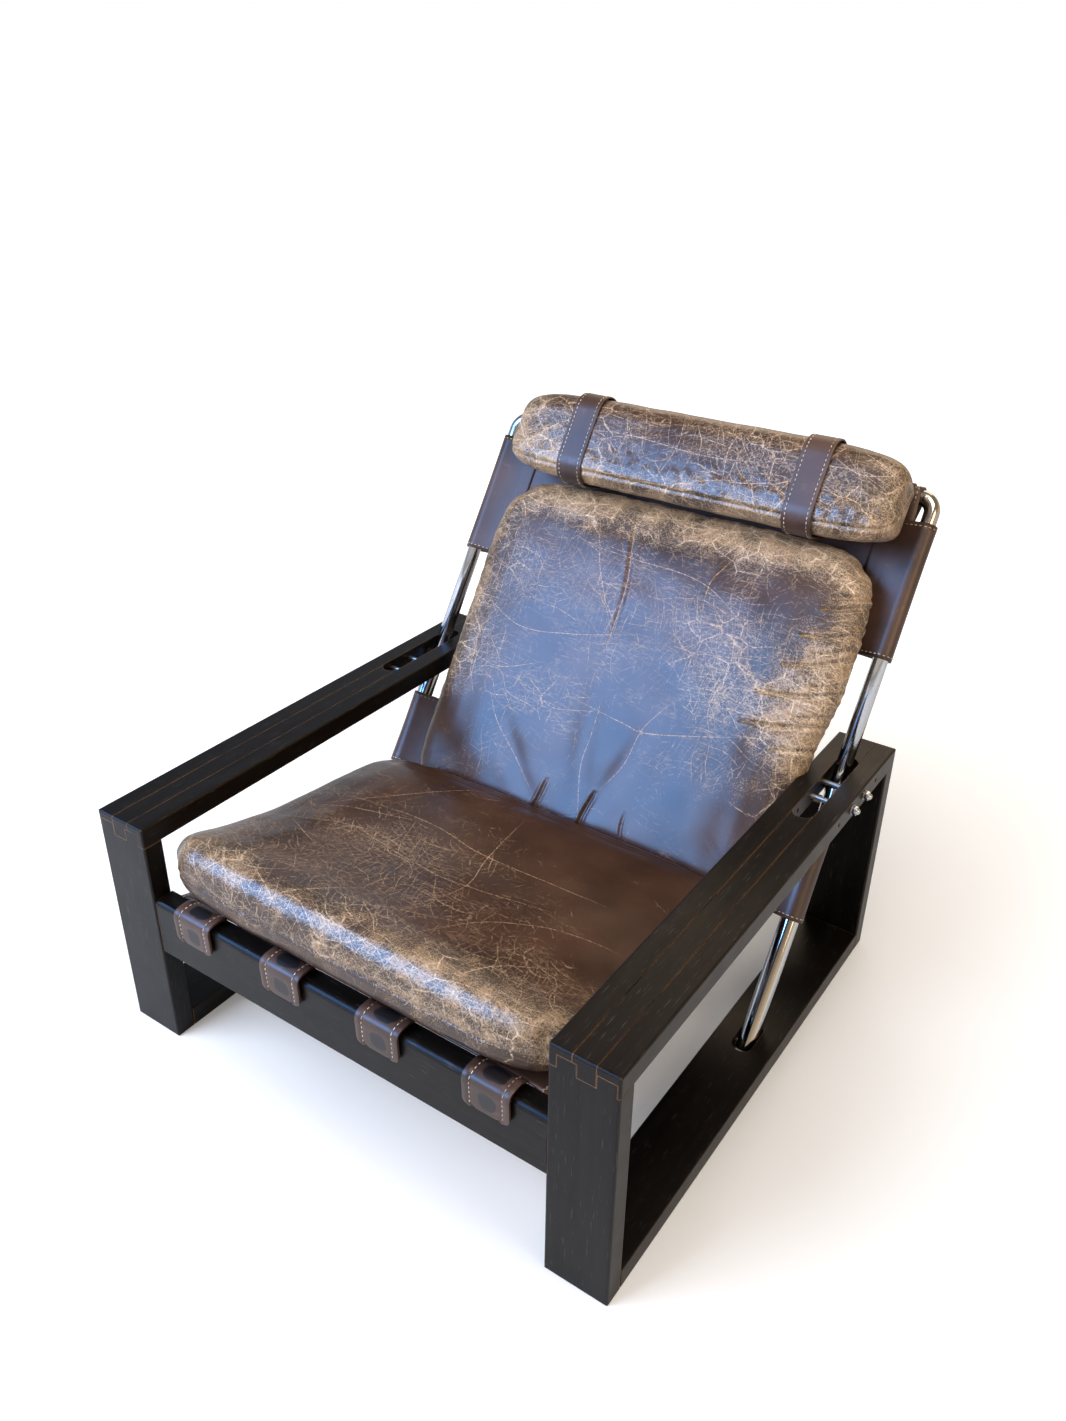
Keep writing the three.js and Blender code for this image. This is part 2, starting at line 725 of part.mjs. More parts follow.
// The dome-headed screw at each end of the crossbar.
function addCornerScrews() {
  const head_radius = corner_screw_head_diameter / 2;
  const shank_radius = corner_screw_shank_diameter / 2;
  const profile = [
    new THREE.Vector2(0, -corner_screw_shank_length),
    new THREE.Vector2(shank_radius, -corner_screw_shank_length),
    new THREE.Vector2(shank_radius, 0),
    new THREE.Vector2(head_radius, 0),
  ];
  for (let step = 1; step <= arc_steps; step += 1) {
    const angle = (Math.PI / 2) * (step / arc_steps);
    const x = step === arc_steps ? 0 : head_radius * Math.cos(angle);
    profile.push(new THREE.Vector2(x, corner_screw_head_height * Math.sin(angle)));
  }
  const place = bendPoint(1, THREE.MathUtils.degToRad(corner_screw_turn_deg));
  const geometry = new THREE.LatheGeometry(profile, small_round_steps).rotateX(Math.PI);
  geometry.translate(place.x, -upper_radius - fit_clearance, place.z);
  addPair(back, 'corner_screw', toSolid(geometry), materials.steel);
}

// Slings

// The section of leather wrapped round a tube and sewn together at a seam beside it.
function wrapOutline(centre_u, centre_v, radius, seam_u, seam_v) {
  const run = Math.hypot(seam_u - centre_u, seam_v - centre_v);
  const towards = Math.atan2(seam_v - centre_v, seam_u - centre_u);
  const half_angle = Math.acos((radius - sling_thickness / 2) / run);
  const shape = new THREE.Shape();
  shape.absarc(centre_u, centre_v, radius, towards + half_angle, towards + 2 * Math.PI - half_angle);
  const side = sling_thickness / 2;
  shape.lineTo(seam_u + side * Math.sin(towards), seam_v - side * Math.cos(towards));
  shape.lineTo(seam_u - side * Math.sin(towards), seam_v + side * Math.cos(towards));
  shape.closePath();
  return shape;
}

// The circles that the head cushion's section and its straps are drawn round, as [y, z, radius].
function headCircles() {
  const front = head_cushion_front_radius - head_cushion_front;
  const rear_face = crossbar_circle_radius + head_cushion_rest_gap;
  const rear = -rear_face - head_cushion_rear_radius;
  const rear_top = head_cushion_top - head_cushion_rear_radius - head_cushion_rear_drop;
  const rear_low = head_cushion_bottom + head_cushion_rear_radius + head_cushion_rear_lift;
  return {
    rear_top: [rear, rear_top, head_cushion_rear_radius],
    front_top: [front, head_cushion_top - head_cushion_front_radius, head_cushion_front_radius],
    front_low: [front, head_cushion_bottom + head_cushion_front_radius, head_cushion_front_radius],
    rear_low: [rear, rear_low, head_cushion_rear_radius],
    crossbar: [0, crossbar_reach, rear_face],
  };
}

// The closed loop of a head strap, which holds the head cushion to the crossbar.
function headStrap(middle, clearance) {
  const circles = headCircles();
  const pulleys = [circles.front_top, circles.front_low, circles.rear_low, circles.crossbar];
  const inside = fit_clearance - clearance;
  const shape = beltOutline(pulleys, fit_clearance + head_strap_thickness + clearance);
  shape.holes.push(beltOutline(pulleys, inside, THREE.Path));
  const half = head_strap_width / 2 + clearance;
  return prismX(shape, middle - half, middle + half, arc_steps);
}

// The places of the two head straps across the chair.
function headStrapPlaces() {
  return {
    right_head_strap: head_cushion_shift + (head_cushion_half_length - head_strap_end_margin),
    left_head_strap: head_cushion_shift - (head_cushion_half_length - head_strap_end_margin),
  };
}

// The back sling: a sheet cut back beside the cushion, sewn round both tubes and the crossbar.
function backSling() {
  const start = sling_join_reach + sling_join_gap;
  const half_sheet = sling_thickness / 2;
  const half = [
    [centre_x, start], [centre_x, lower_sleeve_end], [back_sling_half_width, lower_sleeve_end],
    [back_sling_half_width, upper_sleeve_start], [centre_x, upper_sleeve_start],
    [centre_x, upper_sleeve_end], [top_sleeve_half_width, upper_sleeve_end],
    [top_sleeve_half_width, crossbar_reach],
  ];
  const points = half.map(([x, z]) => new THREE.Vector2(x, z));
  const other_half = [...half].reverse().map(([x, z]) => new THREE.Vector2(-x, z));
  let sheet = prismY(new THREE.Shape([...points, ...other_half]), -half_sheet, half_sheet);

  const upper_wrap = wrapOutline(
    centre_x, 0, upper_radius + fit_clearance + sleeve_thickness, centre_x - sleeve_seam_run, 0,
  );
  const lower_wrap = wrapOutline(
    centre_x, 0, lower_radius + fit_clearance + sleeve_thickness, centre_x - sleeve_seam_run, 0,
  );
  const top_wrap = wrapOutline(
    0, crossbar_reach, crossbar_circle_radius, 0, crossbar_reach - sleeve_seam_run,
  );
  const upper_tube = ring(centre_x, 0, upper_radius + fit_clearance);
  const lower_tube = ring(centre_x, 0, lower_radius + fit_clearance);
  const sleeves = prismZ(upper_wrap, upper_sleeve_start, upper_sleeve_end, small_round_steps / 2)
    .add(prismZ(lower_wrap, lower_sleeve_start, lower_sleeve_end, small_round_steps / 2));
  const upper_cut = prismZ(
    upper_tube, upper_sleeve_start - cut_overrun, upper_sleeve_end + cut_overrun, round_steps / 2,
  );
  const lower_cut = prismZ(
    lower_tube, start - cut_overrun, lower_sleeve_end + cut_overrun, round_steps / 2,
  );
  const tube_cuts = upper_cut.add(lower_cut);
  const other_side = (solid) => toSolid(mirrored(toGeometry(solid)));
  sheet = sheet.add(sleeves).add(other_side(sleeves));
  sheet = sheet.add(
    prismX(top_wrap, -top_sleeve_half_width, top_sleeve_half_width, small_round_steps / 2),
  );
  sheet = sheet.subtract(tube_cuts).subtract(other_side(tube_cuts));
  sheet = sheet.subtract(
    rodX(upper_radius + fit_clearance, -centre_x, centre_x, 0, crossbar_reach, round_steps),
  );
  for (const middle of Object.values(headStrapPlaces())) {
    sheet = sheet.subtract(headStrap(middle, fit_clearance));
  }
  return sheet;
}

// The line of the seat sling's upper face from above the rail to the foot of the back sling.
function seatLine() {
  const join_depth = pivot_depth + sling_join_reach * Math.sin(recline);
  const join_height = pivot_height + sling_join_reach * Math.cos(recline);
  const start_height = rail_top + seat_line_lift;
  const sag = start_height - (join_height - seat_dip);
  const points = seat_line_run_shares.map((share, index) => new THREE.Vector2(
    share * join_depth, start_height - seat_line_drop_shares[index] * sag,
  ));
  points.push(new THREE.Vector2(join_depth, join_height));
  return new THREE.SplineCurve(points);
}

// The seat line's point and upward normal at a share of its length.
function seatStation(line, share) {
  const point = line.getPointAt(share);
  const tangent = line.getTangentAt(share);
  return { point, normal: new THREE.Vector2(-tangent.y, tangent.x), tangent };
}

// The share of the seat line at which the sling's front hem starts, just behind the rail.
function seatHemShare(line) {
  return (rail_rear + seat_sling_front_gap) / line.getLength();
}

function seatSling() {
  const line = seatLine();
  const front_share = seatHemShare(line);
  const upper = [];
  const under = [];
  for (let step = 0; step <= sling_steps; step += 1) {
    const share = front_share + (1 - front_share) * (step / sling_steps);
    const { point, normal } = seatStation(line, share);
    upper.push(point);
    under.unshift(point.clone().addScaledVector(normal, -sling_thickness));
  }
  const section = new THREE.Shape([...upper, ...under].reverse());
  return prismX(section, -seat_sling_half_width, seat_sling_half_width);
}

// A leather tab that holds the seat sling on the rail: over the rail's top and down its front.
function railStrap(middle) {
  const line = seatLine();
  const hem = seatStation(line, seatHemShare(line));
  const rear = hem.point.x - hem.normal.x * sling_thickness - fit_clearance;
  const top = rail_top + rail_strap_rise;
  const face = rail_setback - rail_strap_stand;
  const low = rail_top - rail_strap_drop;
  const outer_round = rail_strap_rise / 2 + rail_strap_stand / 2;
  const profile = roundedRectangle(face, rear, low, top, [0, 0, rail_strap_round, outer_round]);
  const seat = roundedRectangle(
    rail_setback - fit_clearance, rear + cut_overrun, low - cut_overrun, rail_top + fit_clearance,
    [0, 0, 0, rail_round],
  );
  const half = rail_strap_width / 2;
  const corners = [rail_strap_corner, rail_strap_corner, 0, 0];
  const front_view = roundedRectangle(middle - half, middle + half, low, top, corners);
  return prismX(profile, middle - half, middle + half)
    .subtract(prismX(seat, middle - half - cut_overrun, middle + half + cut_overrun))
    .intersect(prismY(front_view, face, rear));
}

function addLeatherwork() {
  addMesh(back, 'back_sling', toGeometry(backSling()), materials.sling_leather);
  addMesh(chair, 'seat_sling', toGeometry(seatSling()), materials.sling_leather);
  const first_strap = rail_strap_end_margin - inner_x;
  for (let count = 0; count < rail_strap_count; count += 1) {
    const middle = first_strap * (1 - (2 * count) / (rail_strap_count - 1));
    const name = `rail_strap_${count + 1}`;
    addMesh(chair, name, toGeometry(railStrap(middle)), materials.sling_leather);
  }
  for (const [name, middle] of Object.entries(headStrapPlaces())) {
    addMesh(back, name, toGeometry(headStrap(middle, 0)), materials.sling_leather);
  }
}

// Cushions

// A stuffed cushion: a fine box whose two faces swell towards the middle, with drawn-in corners.
// `place(u, v, w)` puts it in the chair; u runs across, v along and w through, each from -1 to 1.
function cushionGeometry(place) {
  const geometry = new THREE.BoxGeometry(
    2, 2, 2, cushion_steps_across, cushion_steps_along, cushion_steps_through,
  );
  const position = geometry.attributes.position;
  const spread = (value) => Math.sin((value * Math.PI) / 2);
  for (let index = 0; index < position.count; index += 1) {
    const u = spread(position.getX(index));
    const v = spread(position.getY(index));
    const { x, y, z } = place(u, v, position.getZ(index));
    position.setXYZ(index, x, y, z);
  }
  return toGeometry(toSolid(geometry));
}

// How full a cushion is at (u, v): one in the middle and nothing at its edges.
function fullness(u, v) {
  return Math.sqrt((1 - u ** 4) * (1 - v ** 4));
}

// The share by which a cushion's outline is pulled in near its corners.
function cornerPull(u, v) {
  return 1 - corner_pull_share * (u * v) ** 8;
}

// A smooth step from nothing at `from` to one at `to`.
function smooth(value, from, to) {
  return THREE.MathUtils.smoothstep(value, from, to);
}

function seatCushion() {
  const line = seatLine();
  const line_length = line.getLength();
  const half_run = (line_length - seat_cushion_front - seat_cushion_rear_margin) / 2;
  const back_slope = Math.tan(recline);
  const middle_height = seat_cushion_middle / 2 + seat_cushion_rest_gap;
  return cushionGeometry((u, v, w) => {
    const swell = seat_cushion_swell * (1 - w * w);
    const half_edge = seat_cushion_edge / 2;
    const half = half_edge + (seat_cushion_middle / 2 - half_edge) * fullness(u, v);
    const half_width = seat_cushion_half_width - seat_cushion_swell + swell;
    const half_length = half_run - seat_cushion_swell + swell;
    const reach = seat_cushion_front + half_run + v * half_length * cornerPull(u, v);
    const { point, normal, tangent } = seatStation(line, reach / line_length);
    const rise = seat_cushion_front_rise * (1 - smooth(reach, 0, seat_cushion_rise_run));
    const through = middle_height + w * half;
    const lean = w * half * back_slope * Math.max(v, 0) ** 3;
    return {
      x: u * half_width * cornerPull(u, v),
      y: point.x + normal.x * through + tangent.x * lean,
      z: point.y + normal.y * through + tangent.y * lean + rise,
    };
  });
}

function backCushion() {
  return cushionGeometry((u, v, w) => {
    const swell = back_cushion_swell * (1 - w * w);
    const half_edge = back_cushion_edge / 2;
    const half = half_edge + (back_cushion_middle / 2 - half_edge) * fullness(u, v);
    const half_length = (back_cushion_end - back_cushion_start) / 2 - back_cushion_swell + swell;
    const middle = (back_cushion_end + back_cushion_start) / 2;
    const reach = middle + v * half_length * cornerPull(u, v);
    const widen = smooth(reach, widen_start, widen_start + back_cushion_widen_run);
    const half_width = THREE.MathUtils.lerp(
      back_cushion_low_half_width, back_cushion_top_half_width, widen,
    ) - back_cushion_swell + swell;
    const shift = THREE.MathUtils.lerp(back_cushion_low_shift, back_cushion_top_shift, widen);
    const middle_depth = back_cushion_middle / 2 + sling_thickness / 2 + back_cushion_rest_gap;
    const foot_lean = back_cushion_foot_lean * Math.max(-v, 0) ** 3;
    const top_lean = back_cushion_top_lean * Math.max(v, 0) ** 3;
    const lean = -w * half * (foot_lean + top_lean);
    return {
      x: shift + u * half_width * cornerPull(u, v),
      y: -middle_depth - w * half,
      z: reach + lean,
    };
  });
}

// The head cushion: one rounded section, drawn in towards both ends.
function headCushion() {
  const circles = headCircles();
  const corners = [circles.rear_top, circles.front_top, circles.front_low, circles.rear_low];
  const section = beltOutline(corners, 0).getPoints(arc_steps).slice(0, -1);
  const bounds = new THREE.Box2().setFromPoints(section);
  const middle = bounds.getCenter(new THREE.Vector2());
  const positions = [];
  const indices = [];
  const half_length = head_cushion_half_length;
  const ring_size = section.length;
  positions.push(head_cushion_shift - half_length, middle.x, middle.y);
  for (let station = 1; station < head_stations; station += 1) {
    const angle = Math.PI * (station / head_stations - 1 / 2);
    const across = Math.sign(Math.sin(angle)) * Math.abs(Math.sin(angle)) ** head_cushion_end_share;
    const scale = Math.cos(angle) ** head_cushion_end_share;
    for (const { x, y } of section) {
      positions.push(
        head_cushion_shift + across * half_length,
        middle.x + (x - middle.x) * scale, middle.y + (y - middle.y) * scale,
      );
    }
  }
  positions.push(head_cushion_shift + half_length, middle.x, middle.y);
  const last = positions.length / 3 - 1;
  for (let count = 0; count < ring_size; count += 1) {
    const next = (count + 1) % ring_size;
    indices.push(0, 1 + next, 1 + count);
    indices.push(last, last - ring_size + count, last - ring_size + next);
    for (let station = 0; station < head_stations - 2; station += 1) {
      const here = 1 + station * ring_size;
      const there = here + ring_size;
      indices.push(here + count, here + next, there + next);
      indices.push(here + count, there + next, there + count);
    }
  }
  const geometry = new THREE.BufferGeometry();
  geometry.setAttribute('position', new THREE.Float32BufferAttribute(positions, 3));
  geometry.setIndex(indices);
  return toGeometry(toSolid(geometry));
}

addArmLaths();
addPosts();
addBottomBoards();
addRails();
addBolts();
addBackFrame();
addCornerScrews();
addLeatherwork();
addMesh(chair, 'seat_cushion', seatCushion(), materials.cushion_leather);
addMesh(back, 'back_cushion', backCushion(), materials.cushion_leather);
addMesh(back, 'head_cushion', headCushion(), materials.cushion_leather);

// The origin is on the floor under the middle of the whole chair.
chair.updateMatrixWorld(true);
const extent = new THREE.Box3().setFromObject(chair, true);
chair.position.set(0, -(extent.min.y + extent.max.y) / 2, 0);

export default chair;
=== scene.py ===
"""A reclining lounge chair: black laths, a chromed tube back, saddle-leather slings and three
worn cushions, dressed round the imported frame. Lengths are in metres unless a name says _mm."""

import json
import logging
import math
from dataclasses import dataclass, field
from enum import Enum
from typing import Sequence

import bmesh
import bpy
import numpy as np
from bpy.types import Material, NodeSocket, NodeTree, Object
from mathutils import Matrix, Vector, noise
from numpy import ndarray


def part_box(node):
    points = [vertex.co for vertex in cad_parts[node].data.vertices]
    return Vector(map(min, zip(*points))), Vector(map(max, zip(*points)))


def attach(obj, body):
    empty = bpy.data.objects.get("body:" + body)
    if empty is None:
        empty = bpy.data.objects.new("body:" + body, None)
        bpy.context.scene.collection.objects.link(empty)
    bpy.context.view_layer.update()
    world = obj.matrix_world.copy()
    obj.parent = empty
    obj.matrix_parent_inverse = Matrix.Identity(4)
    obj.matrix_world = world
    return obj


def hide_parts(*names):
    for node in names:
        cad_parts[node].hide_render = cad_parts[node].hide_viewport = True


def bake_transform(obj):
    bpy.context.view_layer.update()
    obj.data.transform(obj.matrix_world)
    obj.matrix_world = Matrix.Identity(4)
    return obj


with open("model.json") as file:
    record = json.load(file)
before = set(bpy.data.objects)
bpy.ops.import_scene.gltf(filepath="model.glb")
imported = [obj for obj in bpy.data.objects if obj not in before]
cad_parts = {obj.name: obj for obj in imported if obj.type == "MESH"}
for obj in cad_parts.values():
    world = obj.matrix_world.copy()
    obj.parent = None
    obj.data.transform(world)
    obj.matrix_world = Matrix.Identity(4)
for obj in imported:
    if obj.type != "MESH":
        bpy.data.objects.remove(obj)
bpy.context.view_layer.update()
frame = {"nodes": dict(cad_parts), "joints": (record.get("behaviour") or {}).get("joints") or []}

log = logging.getLogger("lounge_chair")

MM = 0.001


# Small tools


def srgb(colour: str) -> tuple[float, float, float, float]:
    """Turn a hex colour into linear values.

    Args:
        colour: An sRGB colour such as "#4a3325".

    Returns:
        Linear red, green and blue, and an alpha of one.
    """
    channels = [int(colour[i : i + 2], 16) / 255 for i in (1, 3, 5)]
    linear = [c / 12.92 if c <= 0.04045 else ((c + 0.055) / 1.055) ** 2.4 for c in channels]
    return (*linear, 1.0)


def add(tree: NodeTree, kind: str, inputs: dict | None = None, out: int | str = 0,
        **settings: object) -> NodeSocket:
    """Add a node with its settings and links.

    Args:
        tree: The node tree that gets the node.
        kind: The node's type name; a shader node's goes without its prefix.
        inputs: What each input socket takes: another node's output, or a value.
        out: The output socket to hand back, by number or name.
        **settings: Properties of the node; `stops` sets the points of a colour ramp.

    Returns:
        The chosen output socket; its `node` is the new node.
    """
    node = tree.nodes.new(kind if "Node" in kind else f"ShaderNode{kind}")
    for position, (place, colour) in enumerate(settings.pop("stops", ())):
        ramp = node.color_ramp.elements
        stop = ramp[position] if position < 2 else ramp.new(place)
        stop.position = place
        stop.color = colour
    for name, value in settings.items():
        setattr(node, name, value)
    for key, value in (inputs or {}).items():
        if isinstance(value, NodeSocket):
            tree.links.new(value, node.inputs[key])
        else:
            node.inputs[key].default_value = value
    return node.outputs[out] if len(node.outputs) else None


def smooth_step(value: ndarray, start: float, end: float) -> ndarray:
    """A smooth rise from nothing at `start` to one at `end`."""
    share = np.clip((value - start) / (end - start), 0.0, 1.0)
    return share * share * (3 - 2 * share)


def bell(value: ndarray, width: float) -> ndarray:
    """One at nothing, falling off smoothly over `width`."""
    return np.exp(-((value / width) ** 2))


def noise_at(points: ndarray, sizes: float | Sequence[float], seed: float) -> ndarray:
    """Smooth noise from minus one to one at many points.

    Args:
        points: An N by 3 array of places.
        sizes: The size of the noise's lumps, or their sizes along each axis.
        seed: Where the noise is taken, so that two calls differ.

    Returns:
        N values.
    """
    scaled = points / np.array(sizes) + seed
    return np.array([noise.noise(p) for p in scaled.tolist()])


def get_coordinates(mesh: bpy.types.Mesh) -> ndarray:
    """A mesh's vertices as an N by 3 array."""
    flat = np.empty(len(mesh.vertices) * 3)
    mesh.vertices.foreach_get("co", flat)
    return flat.reshape(-1, 3)


def set_coordinates(mesh: bpy.types.Mesh, points: ndarray) -> None:
    """Write an N by 3 array back into a mesh's vertices."""
    mesh.vertices.foreach_set("co", points.ravel())
    mesh.update()


def get_normals(mesh: bpy.types.Mesh) -> ndarray:
    """A mesh's vertex normals as an N by 3 array."""
    flat = np.empty(len(mesh.vertices) * 3)
    mesh.vertex_normals.foreach_get("vector", flat)
    return flat.reshape(-1, 3)


def set_attribute(mesh: bpy.types.Mesh, name: str, values: ndarray) -> None:
    """Store one value for each vertex under a name that a material reads."""
    attribute = mesh.attributes.get(name) or mesh.attributes.new(name, "FLOAT", "POINT")
    attribute.data.foreach_set("value", np.asarray(values, np.float32))


def new_piece(name: str, vertices: Sequence[Sequence[float]], faces: Sequence[Sequence[int]],
              material: Material | None = None) -> Object:
    """Make a smooth-shaded object at the origin.

    Args:
        name: The piece's name.
        vertices: Its points in the row frame.
        faces: Its faces as rows of point numbers.
        material: Its finish.

    Returns:
        The new object.
    """
    mesh = bpy.data.meshes.new(name)
    mesh.from_pydata([tuple(v) for v in vertices], [], [tuple(f) for f in faces])
    mesh.validate()
    mesh.shade_smooth()
    piece = bpy.data.objects.new(name, mesh)
    bpy.context.scene.collection.objects.link(piece)
    if material is not None:
        mesh.materials.append(material)
    return piece


def skin_faces(
    rows: int, points: int, round_rows: bool = False, round_points: bool = False
) -> list[tuple[int, int, int, int]]:
    """The faces of a grid of points.

    Args:
        rows: How many rows it has.
        points: How many points a row has.
        round_rows: Whether the last row joins the first.
        round_points: Whether each row is a closed ring.

    Returns:
        Quads that turn from a row's points towards the next row.
    """
    faces = []
    for row in range(rows if round_rows else rows - 1):
        after = (row + 1) % rows
        for here in range(points if round_points else points - 1):
            there = (here + 1) % points
            faces.append((row * points + here, row * points + there, after * points + there,
                          after * points + here))
    return faces


def outward(piece: Object) -> None:
    """Turn all faces of a closed or open mesh the same way, outwards."""
    work = bmesh.new()
    work.from_mesh(piece.data)
    bmesh.ops.remove_doubles(work, verts=work.verts, dist=0.01 * MM)
    bmesh.ops.recalc_face_normals(work, faces=work.faces)
    work.to_mesh(piece.data)
    work.free()
    piece.data.shade_smooth()


def made_solid(piece: Object) -> Object:
    """Turn a piece's modifiers into plain mesh."""
    graph = bpy.context.evaluated_depsgraph_get()
    result = bpy.data.meshes.new_from_object(piece.evaluated_get(graph))
    piece.modifiers.clear()
    old = piece.data
    piece.data = result
    result.name = piece.name
    bpy.data.meshes.remove(old)
    return piece


def thickened(piece: Object, thickness: float, rounding: float = 0.0, segments: int = 2) -> Object:
    """Turn a sheet into a solid one.

    Args:
        piece: The sheet, drawn as its middle.
        thickness: How thick it becomes.
        rounding: The radius of its edges, as a share of the thickness.
        segments: How many steps the rounding takes.

    Returns:
        The same piece as plain mesh.
    """
    solid = piece.modifiers.new("thickness", "SOLIDIFY")
    solid.thickness = thickness
    solid.offset = 0.0
    if rounding:
        bevel = piece.modifiers.new("rounded_edges", "BEVEL")
        bevel.width = thickness * rounding
        bevel.segments = segments
        bevel.limit_method = "ANGLE"
        bevel.angle_limit = math.radians(50)
    return made_solid(piece)


def joined(name: str, pieces: Sequence[Object]) -> Object:
    """Join plain meshes into one piece under a new name."""
    work = bmesh.new()
    materials: list[Material] = []
    for piece in pieces:
        start = len(work.faces)
        work.from_mesh(piece.data)
        work.faces.ensure_lookup_table()
        slots = [slot for slot in piece.data.materials]
        for face in work.faces[start:]:
            material = slots[face.material_index] if slots else None
            if material not in materials:
                materials.append(material)
            face.material_index = materials.index(material)
            face.smooth = True
    mesh = bpy.data.meshes.new(name)
    work.to_mesh(mesh)
    work.free()
    for material in materials:
        mesh.materials.append(material)
    for piece in pieces:
        bpy.data.objects.remove(piece)
    whole = bpy.data.objects.new(name, mesh)
    bpy.context.scene.collection.objects.link(whole)
    return whole


@dataclass(frozen=True)
class BackPlane:
    """The reclined plane of the tubes: x across, n towards the sitter, s up from the pivot."""

    pivot: tuple[float, float, float]
    recline: float

    @property
    def axes(self) -> ndarray:
        """The directions of x, n and s as rows."""
        sine, cosine = math.sin(self.recline), math.cos(self.recline)
        return np.array([[1, 0, 0], [0, -cosine, sine], [0, sine, cosine]])

    def place(self, points: ndarray) -> ndarray:
        """Turn (x, n, s) rows into places in the row frame."""
        return np.asarray(points, float) @ self.axes + np.array(self.pivot)

    def local(self, points: ndarray) -> ndarray:
        """Turn places in the row frame into (x, n, s) rows."""
        return (np.asarray(points, float) - np.array(self.pivot)) @ self.axes.T


BACK = BackPlane(tuple(frame["joints"][0]["pos_m"]), math.radians(34.2))


# Finishes


class Grain(Enum):
    """The way that a board's grain runs, and its pattern's stretch on X, Y and Z."""

    ACROSS = (0.06, 1.0, 1.0)
    ALONG = (1.0, 0.06, 1.0)
    UPRIGHT = (1.0, 1.0, 0.06)


def new_material(name: str) -> tuple[Material, NodeTree]:
    """An empty node material and its tree."""
    material = bpy.data.materials.new(name)
    material.use_nodes = True
    material.node_tree.nodes.clear()
    return material, material.node_tree


def close_material(tree: NodeTree, inputs: dict[str, object]) -> NodeSocket:
    """Feed a principled shader and the material's output."""
    shader = add(tree, "BsdfPrincipled", inputs)
    add(tree, "OutputMaterial", {"Surface": shader})
    return shader


@dataclass(frozen=True)
class EbonisedWood:
    """Black-stained beech under satin lacquer: near black, with grey flecks at its fine pores
    that are painted glints of light, and arrises rubbed back to brown."""

    grain: Grain
    dark: str = "#070505"
    light: str = "#14110f"
    # The grey of the painted glints where the pores catch the light.
    pore_glint: str = "#434241"
    rubbed: str = "#94683f"
    # Real pores lie about 0.3 mm apart and would not show; these are drawn coarser.
    pore_mm: float = 1.8
    figure_mm: float = 14.0
    arris_mm: float = 1.8

    def build(self) -> Material:
        """Make the material."""
        material, tree = new_material(f"ebonised_beech_{self.grain.name.lower()}")
        place = add(tree, "TexCoord", out="Object")
        along = add(tree, "Mapping", {"Vector": place, "Scale": self.grain.value})
        figure = add(tree, "TexNoise",
                     {"Vector": along, "Scale": 1000 / self.figure_mm, "Detail": 5.0})
        base = add(tree, "ValToRGB", {"Fac": figure},
                   stops=((0.3, srgb(self.dark)), (0.75, srgb(self.light))))
        pores = add(tree, "TexNoise",
                    {"Vector": along, "Scale": 1000 / self.pore_mm, "Detail": 2.0})
        # Painted glints: grey flecks in the base colour where the pores catch the light.
        glint_mask = add(tree, "MapRange",
                    {"Value": pores, "From Min": 0.64, "From Max": 0.74, "To Max": 0.6})
        glinted = add(tree, "Mix", {0: glint_mask, 6: base, 7: srgb(self.pore_glint)}, out=2,
                      data_type="RGBA")
        bare = add(tree, "NewGeometry", out="Normal")
        softened = add(tree, "Bevel", {"Radius": self.arris_mm * MM}, samples=6)
        facing = add(tree, "VectorMath", {0: bare, 1: softened}, out="Value",
                     operation="DOT_PRODUCT")
        arris = add(tree, "MapRange", {"Value": facing, "From Min": 0.975, "From Max": 0.88})
        patches = add(tree, "TexNoise", {"Vector": place, "Scale": 14.0, "Detail": 6.0})
        patchy = add(tree, "MapRange", {"Value": patches, "From Min": 0.28, "From Max": 0.52})
        worn = add(tree, "Math", {0: arris, 1: patchy}, operation="MULTIPLY")
        worn_part = add(tree, "Math", {0: worn, 1: 0.8}, operation="MULTIPLY")
        colour = add(tree, "Mix", {0: worn_part, 6: glinted, 7: srgb(self.rubbed)},
                     out=2, data_type="RGBA")
        smear = add(tree, "TexNoise", {"Vector": place, "Scale": 22.0, "Detail": 3.0})
        gloss = add(tree, "MapRange", {"Value": smear, "To Min": 0.26, "To Max": 0.42})
        relief = add(tree, "Bump", {"Height": pores, "Strength": 0.15, "Distance": 0.3 * MM,
                                    "Normal": softened})
        close_material(tree, {"Base Color": colour, "Roughness": gloss, "IOR": 1.42,
                              "Specular IOR Level": 0.23, "Normal": relief})
        return material


@dataclass(frozen=True)
class BareBeech:
    """Unstained beech dowel: pale, with a fine straight grain."""

    pale: str = "#c79a66"
    brown: str = "#a87545"
    # Drawn coarser than the real grain of about 0.5 mm, which would not show.
    grain_mm: float = 1.5

    def build(self) -> Material:
        """Make the material."""
        material, tree = new_material("bare_beech")
        place = add(tree, "TexCoord", out="Object")
        along = add(tree, "Mapping", {"Vector": place, "Scale": Grain.ACROSS.value})
        grain = add(tree, "TexNoise",
                    {"Vector": along, "Scale": 1000 / self.grain_mm, "Detail": 4.0})
        colour = add(tree, "ValToRGB", {"Fac": grain},
                     stops=((0.35, srgb(self.brown)), (0.65, srgb(self.pale))))
        close_material(tree, {"Base Color": colour, "Roughness": 0.55, "IOR": 1.5})
        return material


